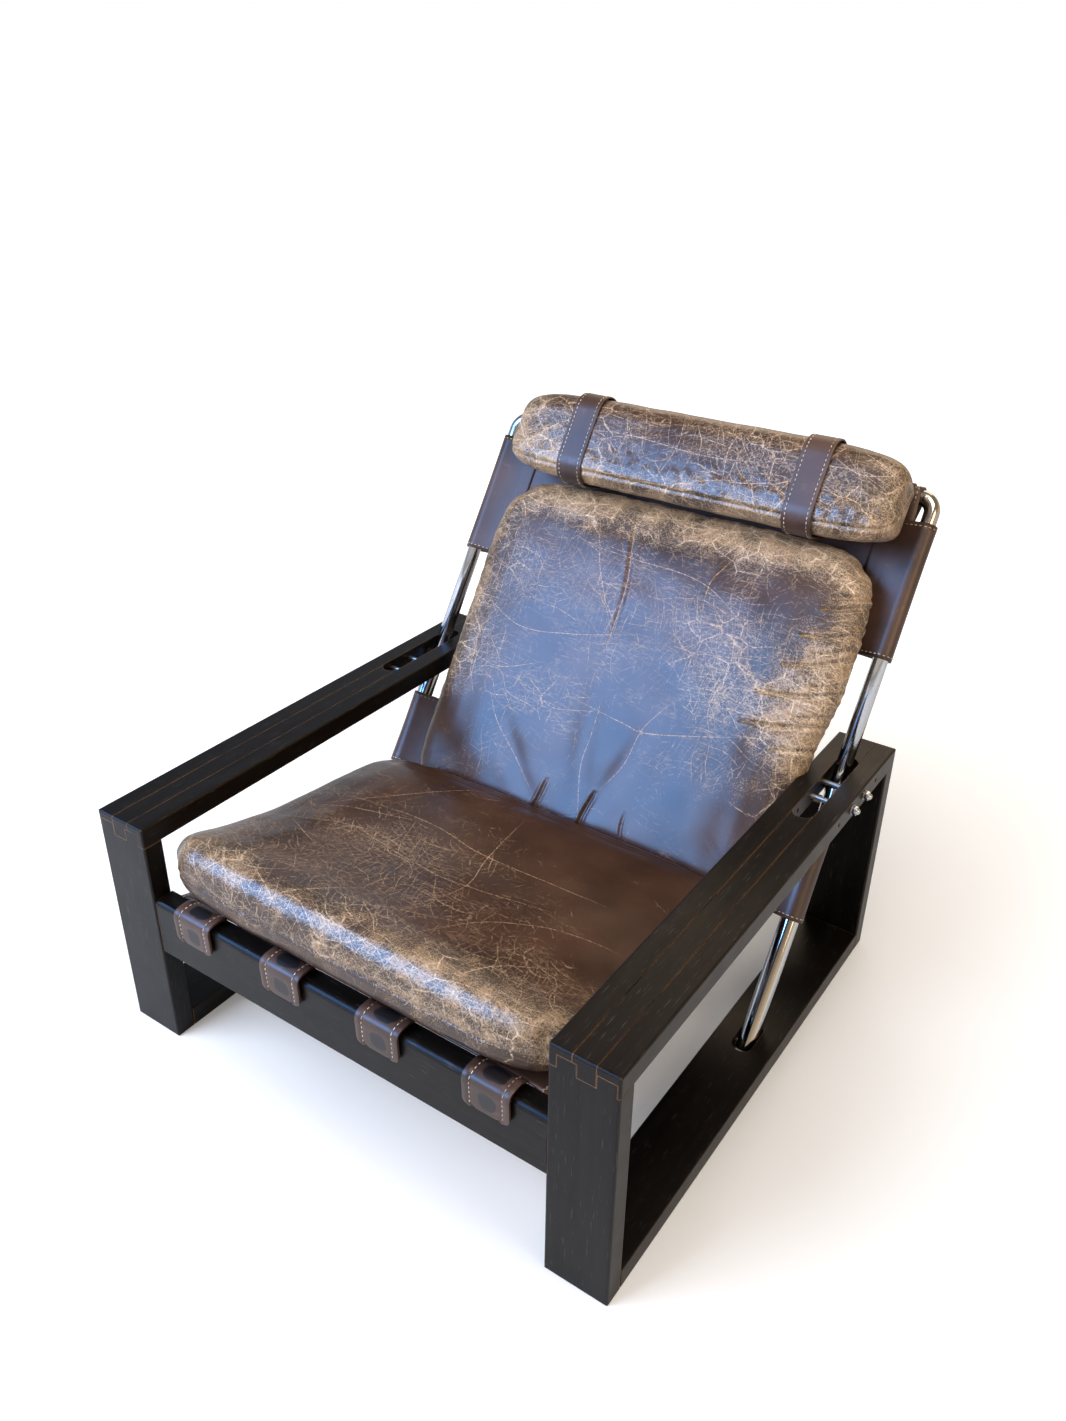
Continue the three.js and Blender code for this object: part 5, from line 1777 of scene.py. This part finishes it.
@dataclass
class Cushion:
    """A stuffed leather cushion: the frame's solid, smoothed and spread by use, a little eased by
    a cloth simulation, then sewn, folded and worn.

    Attributes:
        draw_in: How far the cover is drawn in before it is blown up.
        cap: The most that the simulation may move a point.
        crown: The most of its movement towards the surface that is kept.
        give: The movement at which about three quarters of `crown` are reached.
        proud: How far a point may stand outside the frame's surface.
        groove: How deep the seam is pressed in, and its half width.
        lip: How high the leather stands on both sides of the seam, `lip_away` from it.
    """

    finishes: FinishSet
    name: str = "cushion"
    node: str = "cushion"
    body: str = "frame"
    fill: float = 0.7
    voxel: float = 0.005
    draw_in: float = 0.007
    cap: float = 0.024
    proud: float = 0.0015
    crown: float = 0.0018
    give: float = 0.02
    pucker: float = 0.0016
    lumps: float = 0.0012
    groove: float = 0.0024
    lip: float = 0.0010
    lip_away: float = 0.0065
    seed: float = 0.0
    folds: tuple[Fold, ...] = ()
    long_cracks: tuple[LongCrack, ...] = ()
    crack_reach: float = 0.010

    def face(self, points: ndarray) -> ndarray:
        """Each point's two face coordinates and its height off what carries the cushion."""
        raise NotImplementedError

    def seam(self, points: ndarray) -> ndarray:
        """Each point's distance from the seam."""
        raise NotImplementedError

    def wear(self, points: ndarray) -> dict[str, ndarray]:
        """How dry, cracked and scratched the leather is at each point."""
        raise NotImplementedError

    def ease(self, points: ndarray) -> ndarray:
        """The frame's points as years of use have spread the cushion."""
        raise NotImplementedError

    def blank(self) -> Object:
        """The frame's solid as an even, smoothed net, spread by use."""
        work = bmesh.new()
        work.from_mesh(frame["nodes"][self.node].data)
        bmesh.ops.remove_doubles(work, verts=work.verts, dist=0.02 * MM)
        mesh = bpy.data.meshes.new(self.name)
        work.to_mesh(mesh)
        work.free()
        piece = bpy.data.objects.new(self.name, mesh)
        bpy.context.scene.collection.objects.link(piece)
        remesh = piece.modifiers.new("even_net", "REMESH")
        remesh.mode = "VOXEL"
        remesh.voxel_size = self.voxel
        smooth = piece.modifiers.new("evened", "SMOOTH")
        smooth.factor = 0.5
        smooth.iterations = 10
        made_solid(piece)
        set_coordinates(piece.data, self.ease(get_coordinates(piece.data)))
        return piece

    def blow_up(self, piece: Object, reference: ndarray) -> None:
        """Fill the cover with air by a cloth simulation, held along its seam.

        Args:
            piece: The cover, drawn in from its place.
            reference: Where its points lay before they were drawn in.
        """
        start = get_coordinates(piece.data)
        group = piece.vertex_groups.new(name="seam")
        for index, weight in enumerate(bell(self.seam(reference), 0.006)):
            if weight > 0.05:
                group.add([index], float(weight), "REPLACE")
        cloth = piece.modifiers.new("cover", "CLOTH")
        settings = cloth.settings
        settings.quality = 4
        settings.mass = 0.3
        settings.use_pressure = True
        settings.uniform_pressure_force = 4.0
        settings.vertex_group_mass = "seam"
        settings.pin_stiffness = 1.0
        settings.effector_weights.gravity = 0.0
        scene = bpy.context.scene
        for number in range(1, 21):
            scene.frame_set(number)
        blown = piece.evaluated_get(bpy.context.evaluated_depsgraph_get())
        moved = get_coordinates(blown.to_mesh())
        blown.to_mesh_clear()
        piece.modifiers.clear()
        piece.vertex_groups.clear()
        scene.frame_set(1)
        step = moved - start
        length = np.linalg.norm(step, axis=1)
        log.info("%s: blown up by %.1f mm at most", self.name, 1000 * length.max())
        scale = np.minimum(1.0, self.cap / np.maximum(length, 1e-9))
        set_coordinates(piece.data, start + step * scale[:, None])

    def settle(self, piece: Object, reference: ndarray, normals: ndarray) -> None:
        """Keep every point near the frame's surface, and hardly outside it. Left whole, the
        simulated cover has a hard-edged plateau and ridges, which the real one lacks.

        Args:
            piece: The cover after it was blown up.
            reference: The frame's surface at each point.
            normals: That surface's outward directions.
        """
        points = get_coordinates(piece.data)
        off = ((points - reference) * normals).sum(1)
        height = self.face(reference)[:, 2]
        allowed = np.where(height < 0.02, 0.0, self.proud)
        log.info("%s: off the frame's surface by %s mm", self.name,
                 np.round(1000 * np.percentile(off, (1, 10, 50, 90, 99)), 1))
        kept = np.minimum(self.crown * np.tanh(off / self.give), allowed)
        set_coordinates(piece.data, points + (kept - off)[:, None] * normals)

    def mark(self, points: ndarray) -> tuple[ndarray, ndarray]:
        """Where the longest cracks lie.

        Args:
            points: The cushion's points.

        Returns:
            Each point's signed distance from the nearest long crack in millimetres, and how
            clear that crack is there.
        """
        faces = self.face(points)
        reach = self.crack_reach
        nearest = np.full(len(points), reach)
        signed = np.full(len(points), reach)
        clear = np.zeros(len(points))
        upper = smooth_step(faces[:, 2], 0.03, 0.045)
        for crack in self.long_cracks:
            line = np.array(crack)
            line = spline(line, 12) if len(line) > 2 else line
            line = spaced(line, max(int(run_of(line) / 0.0015), 4))
            ahead = np.gradient(line, axis=0)
            ahead /= np.linalg.norm(ahead, axis=1)[:, None]
            flat = faces[:, :2]
            inside = np.all((flat > line.min(0) - reach) & (flat < line.max(0) + reach), axis=1)
            chosen = np.where(inside & (upper > 0))[0]
            if not len(chosen):
                continue
            gaps = np.linalg.norm(flat[chosen, None] - line[None], axis=2)
            place = gaps.argmin(1)
            gap = gaps.min(1)
            offset = flat[chosen] - line[place]
            side = ahead[place, 0] * offset[:, 1] - ahead[place, 1] * offset[:, 0]
            share = place / (len(line) - 1)
            taper = np.sqrt(np.sin(np.pi * np.clip(share, 0.01, 0.99)))
            closer = gap < nearest[chosen]
            index = chosen[closer]
            nearest[index] = gap[closer]
            signed[index] = side[closer]
            fade = 1 - smooth_step(gap[closer], 0.5 * reach, reach)
            clear[index] = (upper[chosen] * taper)[closer] * fade
        return 1000 * signed, clear

    def press(self, points: ndarray) -> ndarray:
        """How far the folds push each point outwards.

        Args:
            points: The cushion's points.

        Returns:
            One distance for each point.
        """
        faces = self.face(points)
        shift = np.zeros(len(points))
        upper = smooth_step(faces[:, 2], 0.025, 0.045)
        for fold in self.folds:
            line = np.array(fold.points)
            line = spaced(spline(line, 8) if len(line) > 2 else line, 48)
            low = line.min(0) - 4 * fold.width
            high = line.max(0) + 4 * fold.width
            inside = np.all((faces[:, :2] > low) & (faces[:, :2] < high), axis=1)
            chosen = np.where(inside & (upper > 0))[0]
            if not len(chosen):
                continue
            gaps = np.linalg.norm(faces[chosen, None, :2] - line[None], axis=2)
            share = gaps.argmin(1) / (len(line) - 1)
            gap = gaps.min(1)
            taper = np.sqrt(np.sin(np.pi * np.clip(share, 0.02, 0.98)))
            valley = bell(gap, fold.width)
            ridge = bell(gap - 2.0 * fold.width, fold.width)
            depth = upper[chosen] * taper * fold.depth
            shift[chosen] += depth * (fold.swell * ridge - valley)
        return shift

    def sculpt(self, piece: Object) -> None:
        """Press in the seam, its puckers, the folds and the broad dents."""
        mesh = piece.data
        points = get_coordinates(mesh)
        normals = get_normals(mesh)
        near = self.seam(points)
        small = noise_at(points, 0.016, self.seed + 3.0)
        wide = noise_at(points, 0.055, self.seed + 8.0)
        shift = self.press(points) - self.groove * bell(near, self.groove) + self.lumps * wide
        lips = bell(near - self.lip_away, 0.0035) + bell(near + self.lip_away, 0.0035)
        shift += self.lip * lips
        shift += self.pucker * bell(near - 0.012, 0.022) * small
        set_coordinates(mesh, points + normals * shift[:, None])
        for name, values in self.wear(points).items():
            set_attribute(mesh, name, np.clip(values, 0, 1))
        signed, clear = self.mark(points)
        set_attribute(mesh, "mark", signed)
        set_attribute(mesh, "marked", clear)

    def build(self) -> Object:
        """Make the cushion."""
        piece = self.blank()
        reference = get_coordinates(piece.data)
        normals = get_normals(piece.data)
        held = bell(self.seam(reference), 0.010)
        inward = self.draw_in * (1 - held)
        set_coordinates(piece.data, reference - normals * inward[:, None])
        self.blow_up(piece, reference)
        self.settle(piece, reference, normals)
        finer = piece.modifiers.new("finer", "SUBSURF")
        finer.levels = finer.render_levels = 1
        made_solid(piece)
        self.sculpt(piece)
        piece.data.materials.clear()
        piece.data.materials.append(self.finishes.worn)
        piece.data.shade_smooth()
        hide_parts(self.node)
        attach(piece, self.body)
        log.info("%s: %d faces", self.name, len(piece.data.polygons))
        return piece


@dataclass
class SeatCushion(Cushion):
    """The long cushion in the seat sling, driest along its front edge and its left side."""

    name: str = "seat_cushion_cover"
    node: str = "seat_cushion"
    body: str = "frame"
    fill: float = 0.65
    seed: float = 1.0
    half_width: float = 0.348
    front_y: float = -0.4934
    rear_y: float = 0.0224
    seam_height: float = 0.036
    seam_front_rise: float = 0.010
    spread: tuple[float, float] = (0.022, 0.009)
    rear_climb: float = 0.020
    front_sink: float = 0.024
    front_swell: float = 0.022
    rail_top: float = 0.272
    rail_rear: float = -0.4735
    tab_rise: float = 0.012
    tab_middles: tuple[float, ...] = field(
        default_factory=lambda: tuple(
            (low.x + high.x) / 2
            for low, high in (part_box(f"rail_strap_{k}") for k in range(1, 5))
        )
    )
    long_cracks: tuple[LongCrack, ...] = (
        ((-0.320, -0.290), (-0.246, -0.257), (-0.159, -0.234), (-0.054, -0.250)),
        ((-0.310, -0.224), (-0.233, -0.193), (-0.128, -0.162)),
        ((-0.293, -0.210), (-0.231, -0.140), (-0.138, -0.015), (-0.109, 0.012)),
        ((-0.287, -0.283), (-0.227, -0.313), (-0.182, -0.329)),
        ((-0.131, -0.485), (-0.094, -0.445), (-0.052, -0.381)),
        ((-0.300, -0.170), (-0.121, -0.155), (0.018, -0.177), (0.222, -0.171)),
        ((-0.180, -0.245), (-0.020, -0.268), (0.052, -0.261), (0.174, -0.236)),
        ((0.027, -0.381), (0.043, -0.270), (0.018, -0.177), (-0.006, -0.054)),
        ((-0.221, -0.436), (-0.157, -0.465), (-0.112, -0.485)),
        ((0.080, -0.440), (0.120, -0.330), (0.200, -0.270), (0.290, -0.250)),
        ((0.180, -0.470), (0.210, -0.400), (0.260, -0.350)),
        ((-0.040, -0.460), (0.010, -0.400), (0.110, -0.350)),
    )

    def face(self, points: ndarray) -> ndarray:
        """Each point's x, its y and its height off the seat sling."""
        carried = np.interp(points[:, 1], SEAT_LINE[:, 0], SEAT_LINE[:, 1])
        return np.stack([points[:, 0], points[:, 1], points[:, 2] - carried], 1)

    def ease(self, points: ndarray) -> ndarray:
        """Wider, higher against the back, and sunk on the rail between its tabs."""
        x, y, z = points.T
        depth = y - self.front_y
        height = self.face(points)[:, 2]
        crown = smooth_step(height, 0.02, 0.08)
        climb = self.rear_climb * smooth_step(depth, 0.18, 0.48) * crown
        front = (1 - smooth_step(depth, 0.0, 0.08)) * (1 - smooth_step(height, 0.01, 0.06))
        tabs = sum(bell(x - middle, 0.034) for middle in self.tab_middles)
        carried = np.interp(y, SEAT_LINE[:, 0], SEAT_LINE[:, 1]) + 0.0015
        on_rail = self.rail_top + 0.0015 + self.tab_rise * np.clip(1.6 * tabs, 0, 1)
        rest_on = np.where(y < self.rail_rear, on_rail, carried)
        sunk = z - self.front_sink * front
        lowest = np.minimum(z, np.maximum(sunk, rest_on))
        moved_y = y - self.front_swell * front + BACK.axes[2, 1] * climb
        moved_z = np.where(front > 0, lowest, z) + BACK.axes[2, 2] * climb
        left = smooth_step(-x, 0.05, self.half_width)
        right = smooth_step(x, 0.05, self.half_width)
        return np.stack([x - self.spread[0] * left + self.spread[1] * right, moved_y, moved_z], 1)

    def seam(self, points: ndarray) -> ndarray:
        """Each point's height above the seam that runs low round the sides."""
        faces = self.face(points)
        depth = faces[:, 1] - self.front_y
        rise = self.seam_front_rise * (1 - smooth_step(depth, 0.0, 0.13))
        away = np.minimum(self.half_width - np.abs(faces[:, 0]),
                          np.minimum(depth, self.rear_y - faces[:, 1]))
        inland = smooth_step(away, 0.03, 0.06) * 0.2
        return faces[:, 2] - self.seam_height - rise + inland

    def wear(self, points: ndarray) -> dict[str, ndarray]:
        """How dry, cracked and scratched the leather is at each point; at the front right corner
        part of the dryness is painted warm light.
        """
        x = points[:, 0]
        depth = points[:, 1] - self.front_y
        front = 1 - smooth_step(depth, 0.02, 0.13)
        left = 1 - smooth_step(x + self.half_width, 0.0, 0.10)
        right = 1 - smooth_step(self.half_width - x, 0.0, 0.05)
        near_front = 1 - smooth_step(depth, 0.10, 0.36)
        sat = np.exp(-(((x + 0.10) / 0.15) ** 2) - ((depth - 0.26) / 0.07) ** 2)
        lump = noise_at(points, 0.09, 2.0)
        streak = noise_at(points, (0.16, 0.05, 0.05), 7.0)
        under = 1 - smooth_step(self.seam(points), -0.008, 0.004)
        polished = bell(self.seam(points) - 0.018, 0.014) * front
        # Painted warm light: the extra dry tan colour at the front right corner stands in for warm
        # light from the right, on top of real wear along the front.
        corner = bell(x - 0.24, 0.18)
        wear = (0.70 + 0.35 * corner) * front + 0.25 * left + 0.25 * right + 0.25 * sat
        wear += 0.2 * near_front * streak + 0.2 * lump * near_front
        wear = (wear - 0.35 * polished) * (1 - under) + 0.5 * under
        crack = 0.02 + 0.38 * front + 0.12 * left + 0.4 * lump * near_front
        streak = 0.25 + 0.38 * near_front + 0.25 * left + 0.45 * sat + 0.35 * streak
        streak -= 0.35 * smooth_step(x + depth, 0.35, 0.6)
        return {"wear": wear, "crack": crack * (1 - 0.7 * under),
                "streak": streak * (1 - 0.6 * under)}


@dataclass
class CushionOnBack(Cushion):
    """A cushion that lies on the back sling."""

    body: str = "back"

    def face(self, points: ndarray) -> ndarray:
        """Each point's x, its reach up the back and its height off the back sling."""
        return BACK.local(points)[:, [0, 2, 1]]


def side_fold(low: float, reach: float, rise: float, depth: float) -> Fold:
    """A crease in the back cushion that starts at its right side.

    Args:
        low: How far up the back its inner end lies.
        reach: How far it runs in.
        rise: How much higher its outer end lies.
        depth: How deep it is.

    Returns:
        The crease.
    """
    side = 0.376
    line = ((side - reach, low), (side - 0.5 * reach, low + 0.3 * rise), (side, low + rise))
    return Fold(line, depth, 0.0032)


@dataclass
class BackCushion(CushionOnBack):
    """The tall cushion on the back sling: dry along its top and sides, smooth at its foot."""

    name: str = "back_cushion_cover"
    node: str = "back_cushion"
    fill: float = 0.6
    seed: float = 5.0
    left_x: float = -0.336
    right_x: float = 0.366
    low: float = 0.166
    high: float = 0.786
    seam_height: float = 0.034
    spread: tuple[float, float] = (0.010, 0.007)
    folds: tuple[Fold, ...] = (
        Fold(((-0.058, 0.215), (-0.050, 0.252), (-0.045, 0.283)), 0.0032, 0.0026),
        Fold(((-0.060, 0.235), (-0.120, 0.30), (-0.175, 0.37)), 0.0032, 0.020, 0.0),
        Fold(((0.036, 0.215), (0.038, 0.252), (0.047, 0.290)), 0.0042, 0.0028),
        Fold(((0.034, 0.235), (0.004, 0.335), (-0.02, 0.50)), 0.0040, 0.024, 0.0),
        Fold(((0.040, 0.240), (0.075, 0.33), (0.10, 0.42)), 0.0028, 0.018, 0.0),
        Fold(((0.118, 0.225), (0.112, 0.256), (0.112, 0.276)), 0.0014, 0.0026),
        Fold(((-0.018, 0.52), (-0.022, 0.63), (-0.052, 0.76)), 0.0013, 0.0045),
        Fold(((0.119, 0.660), (0.135, 0.712), (0.156, 0.755)), 0.0012, 0.0042),
    ) + tuple(
        side_fold(*sizes)
        for sizes in (
            (0.708, 0.050, 0.020, 0.0024),
            (0.684, 0.066, 0.026, 0.0030),
            (0.662, 0.040, 0.020, 0.0022),
            (0.636, 0.082, 0.024, 0.0034),
            (0.612, 0.055, 0.028, 0.0026),
            (0.584, 0.094, 0.036, 0.0034),
            (0.560, 0.050, 0.022, 0.0022),
            (0.532, 0.120, 0.030, 0.0034),
            (0.508, 0.060, 0.020, 0.0024),
            (0.480, 0.130, 0.030, 0.0030),
            (0.452, 0.070, 0.022, 0.0022),
        )
    )
    long_cracks: tuple[LongCrack, ...] = (
        ((-0.210, 0.395), (-0.177, 0.348), (-0.125, 0.305), (-0.070, 0.256)),
        ((0.003, 0.440), (0.006, 0.380), (0.006, 0.323), (0.030, 0.246)),
        ((0.125, 0.470), (0.093, 0.416), (0.081, 0.351), (0.056, 0.302)),
        ((-0.060, 0.430), (0.053, 0.415), (0.111, 0.413), (0.256, 0.453)),
        ((-0.121, 0.746), (-0.085, 0.660), (-0.051, 0.603), (-0.013, 0.541)),
        ((-0.054, 0.760), (-0.037, 0.695), (-0.022, 0.626), (-0.020, 0.500)),
        ((-0.140, 0.690), (-0.027, 0.684), (0.116, 0.671), (0.240, 0.593)),
        ((0.154, 0.750), (0.135, 0.712), (0.119, 0.672), (0.130, 0.600)),
        ((-0.300, 0.560), (-0.200, 0.520), (-0.100, 0.530), (0.020, 0.560)),
        ((0.180, 0.640), (0.200, 0.560), (0.190, 0.480), (0.220, 0.420)),
        ((-0.280, 0.450), (-0.210, 0.440), (-0.130, 0.470)),
    )

    def ease(self, points: ndarray) -> ndarray:
        """Spread towards the right and the top."""
        x, n, s = BACK.local(points).T
        right = self.spread[0] * smooth_step(x, 0.0, self.right_x)
        top = self.spread[1] * smooth_step(s, 0.5, self.high)
        return BACK.place(np.stack([x + right, n, s + top], 1))

    def seam(self, points: ndarray) -> ndarray:
        """Each point's height above the seam that runs round the sides."""
        faces = self.face(points)
        away = np.minimum(np.minimum(self.right_x - faces[:, 0], faces[:, 0] - self.left_x),
                          np.minimum(self.high - faces[:, 1], faces[:, 1] - self.low))
        inland = smooth_step(away, 0.04, 0.07) * 0.2
        return faces[:, 2] - self.seam_height + inland

    def wear(self, points: ndarray) -> dict[str, ndarray]:
        """How dry, cracked and scratched the leather is at each point."""
        x, reach, _ = self.face(points).T
        top = 1 - smooth_step(self.high - reach, 0.015, 0.12)
        left = 1 - smooth_step(x - self.left_x, 0.0, 0.14)
        right = 1 - smooth_step(self.right_x - x, 0.01, 0.16)
        foot = 1 - smooth_step(reach, 0.30, 0.46)
        lump = noise_at(points, 0.11, 12.0)
        spread = noise_at(points, 0.05, 15.0)
        under = 1 - smooth_step(self.seam(points), -0.015, 0.004)
        edge = np.maximum(np.maximum(top, 0.75 * left), 0.85 * right)
        middle = bell(reach - 0.50, 0.10) * smooth_step(x, -0.05, 0.20)
        wear = edge * (1 - 0.75 * foot) + 0.25 * lump * (1 - foot) + 0.35 * middle
        return {"wear": wear + 0.12 * spread + 0.5 * under * (1 - foot),
                "crack": 0.34 + 0.30 * edge + 0.5 * lump + 0.3 * middle - 0.45 * foot,
                "streak": 0.58 + 0.5 * lump + 0.2 * middle - 0.35 * foot}


@dataclass
class HeadCushion(CushionOnBack):
    """The roll at the top, crackled all over."""

    name: str = "head_cushion_cover"
    node: str = "head_cushion"
    fill: float = 0.8
    seed: float = 9.0
    left_x: float = -0.3455
    right_x: float = 0.3895
    low: float = 0.780
    drawn: float = 0.973
    risen: float = 0.010
    seam_low: tuple[float, float] = (0.112, 0.806)
    seam_high: tuple[float, float] = (0.030, 0.930)
    long_cracks: tuple[LongCrack, ...] = (
        ((-0.120, 0.930), (-0.100, 0.880), (-0.110, 0.820)),
        ((-0.010, 0.940), (0.000, 0.880), (-0.020, 0.820)),
        ((-0.220, 0.870), (-0.100, 0.880), (0.060, 0.870), (0.200, 0.885)),
        ((0.110, 0.940), (0.090, 0.890), (0.100, 0.820)),
        ((0.260, 0.910), (0.310, 0.890), (0.360, 0.900)),
    )

    def ease(self, points: ndarray) -> ndarray:
        """Drawn in at both ends and risen at its foot."""
        x, n, s = BACK.local(points).T
        middle = (self.left_x + self.right_x) / 2
        foot = self.risen * (1 - smooth_step(s, self.low, self.low + 0.08))
        return BACK.place(np.stack([middle + (x - middle) * self.drawn, n, s + foot], 1))

    def seam(self, points: ndarray) -> ndarray:
        """Each point's distance from the slanting plane of the seam."""
        start = np.array(self.seam_low)
        along = np.array(self.seam_high) - start
        along /= np.linalg.norm(along)
        across = np.array([along[1], -along[0]])
        return (BACK.local(points)[:, 1:] - start) @ across

    def wear(self, points: ndarray) -> dict[str, ndarray]:
        """How dry, cracked and scratched the leather is at each point."""
        x, reach, _ = self.face(points).T
        left = 1 - smooth_step(x - self.left_x, 0.0, 0.15)
        right = 1 - smooth_step(self.right_x - x, 0.0, 0.13)
        foot = 1 - smooth_step(reach - self.low, 0.01, 0.06)
        lump = noise_at(points, 0.10, 22.0)
        edge = np.maximum(np.maximum(0.9 * left, 0.8 * right), 0.9 * foot)
        return {"wear": 0.34 + 0.75 * edge + 0.3 * lump, "crack": 0.60 + 0.25 * left + 0.3 * lump,
                "streak": 0.72 + 0.4 * lump}


def main() -> None:
    """Build the chair's sub-assemblies in order."""
    logging.basicConfig(level=logging.INFO, format="%(name)s: %(message)s")
    bpy.context.scene.view_settings.view_transform = "Standard"
    ViewFromFront().build()
    Studio().build()
    finishes = FinishSet()
    log.info("finishes built")
    TimberFrame(finishes).build()
    BackTubes(finishes).build()
    ClampBolts(finishes).build()
    log.info("timber and metalwork built")
    stitcher = Stitcher(finishes)
    SeatSling(finishes, stitcher).build()
    BackSling(finishes, stitcher).build()
    RailStraps(finishes, stitcher).build()
    HeadStraps(finishes, stitcher).build()
    log.info("slings and straps built")
    SeatCushion(finishes).build()
    BackCushion(finishes).build()
    HeadCushion(finishes).build()
    log.info("cushions built")


if __name__ == "__main__":
    main()
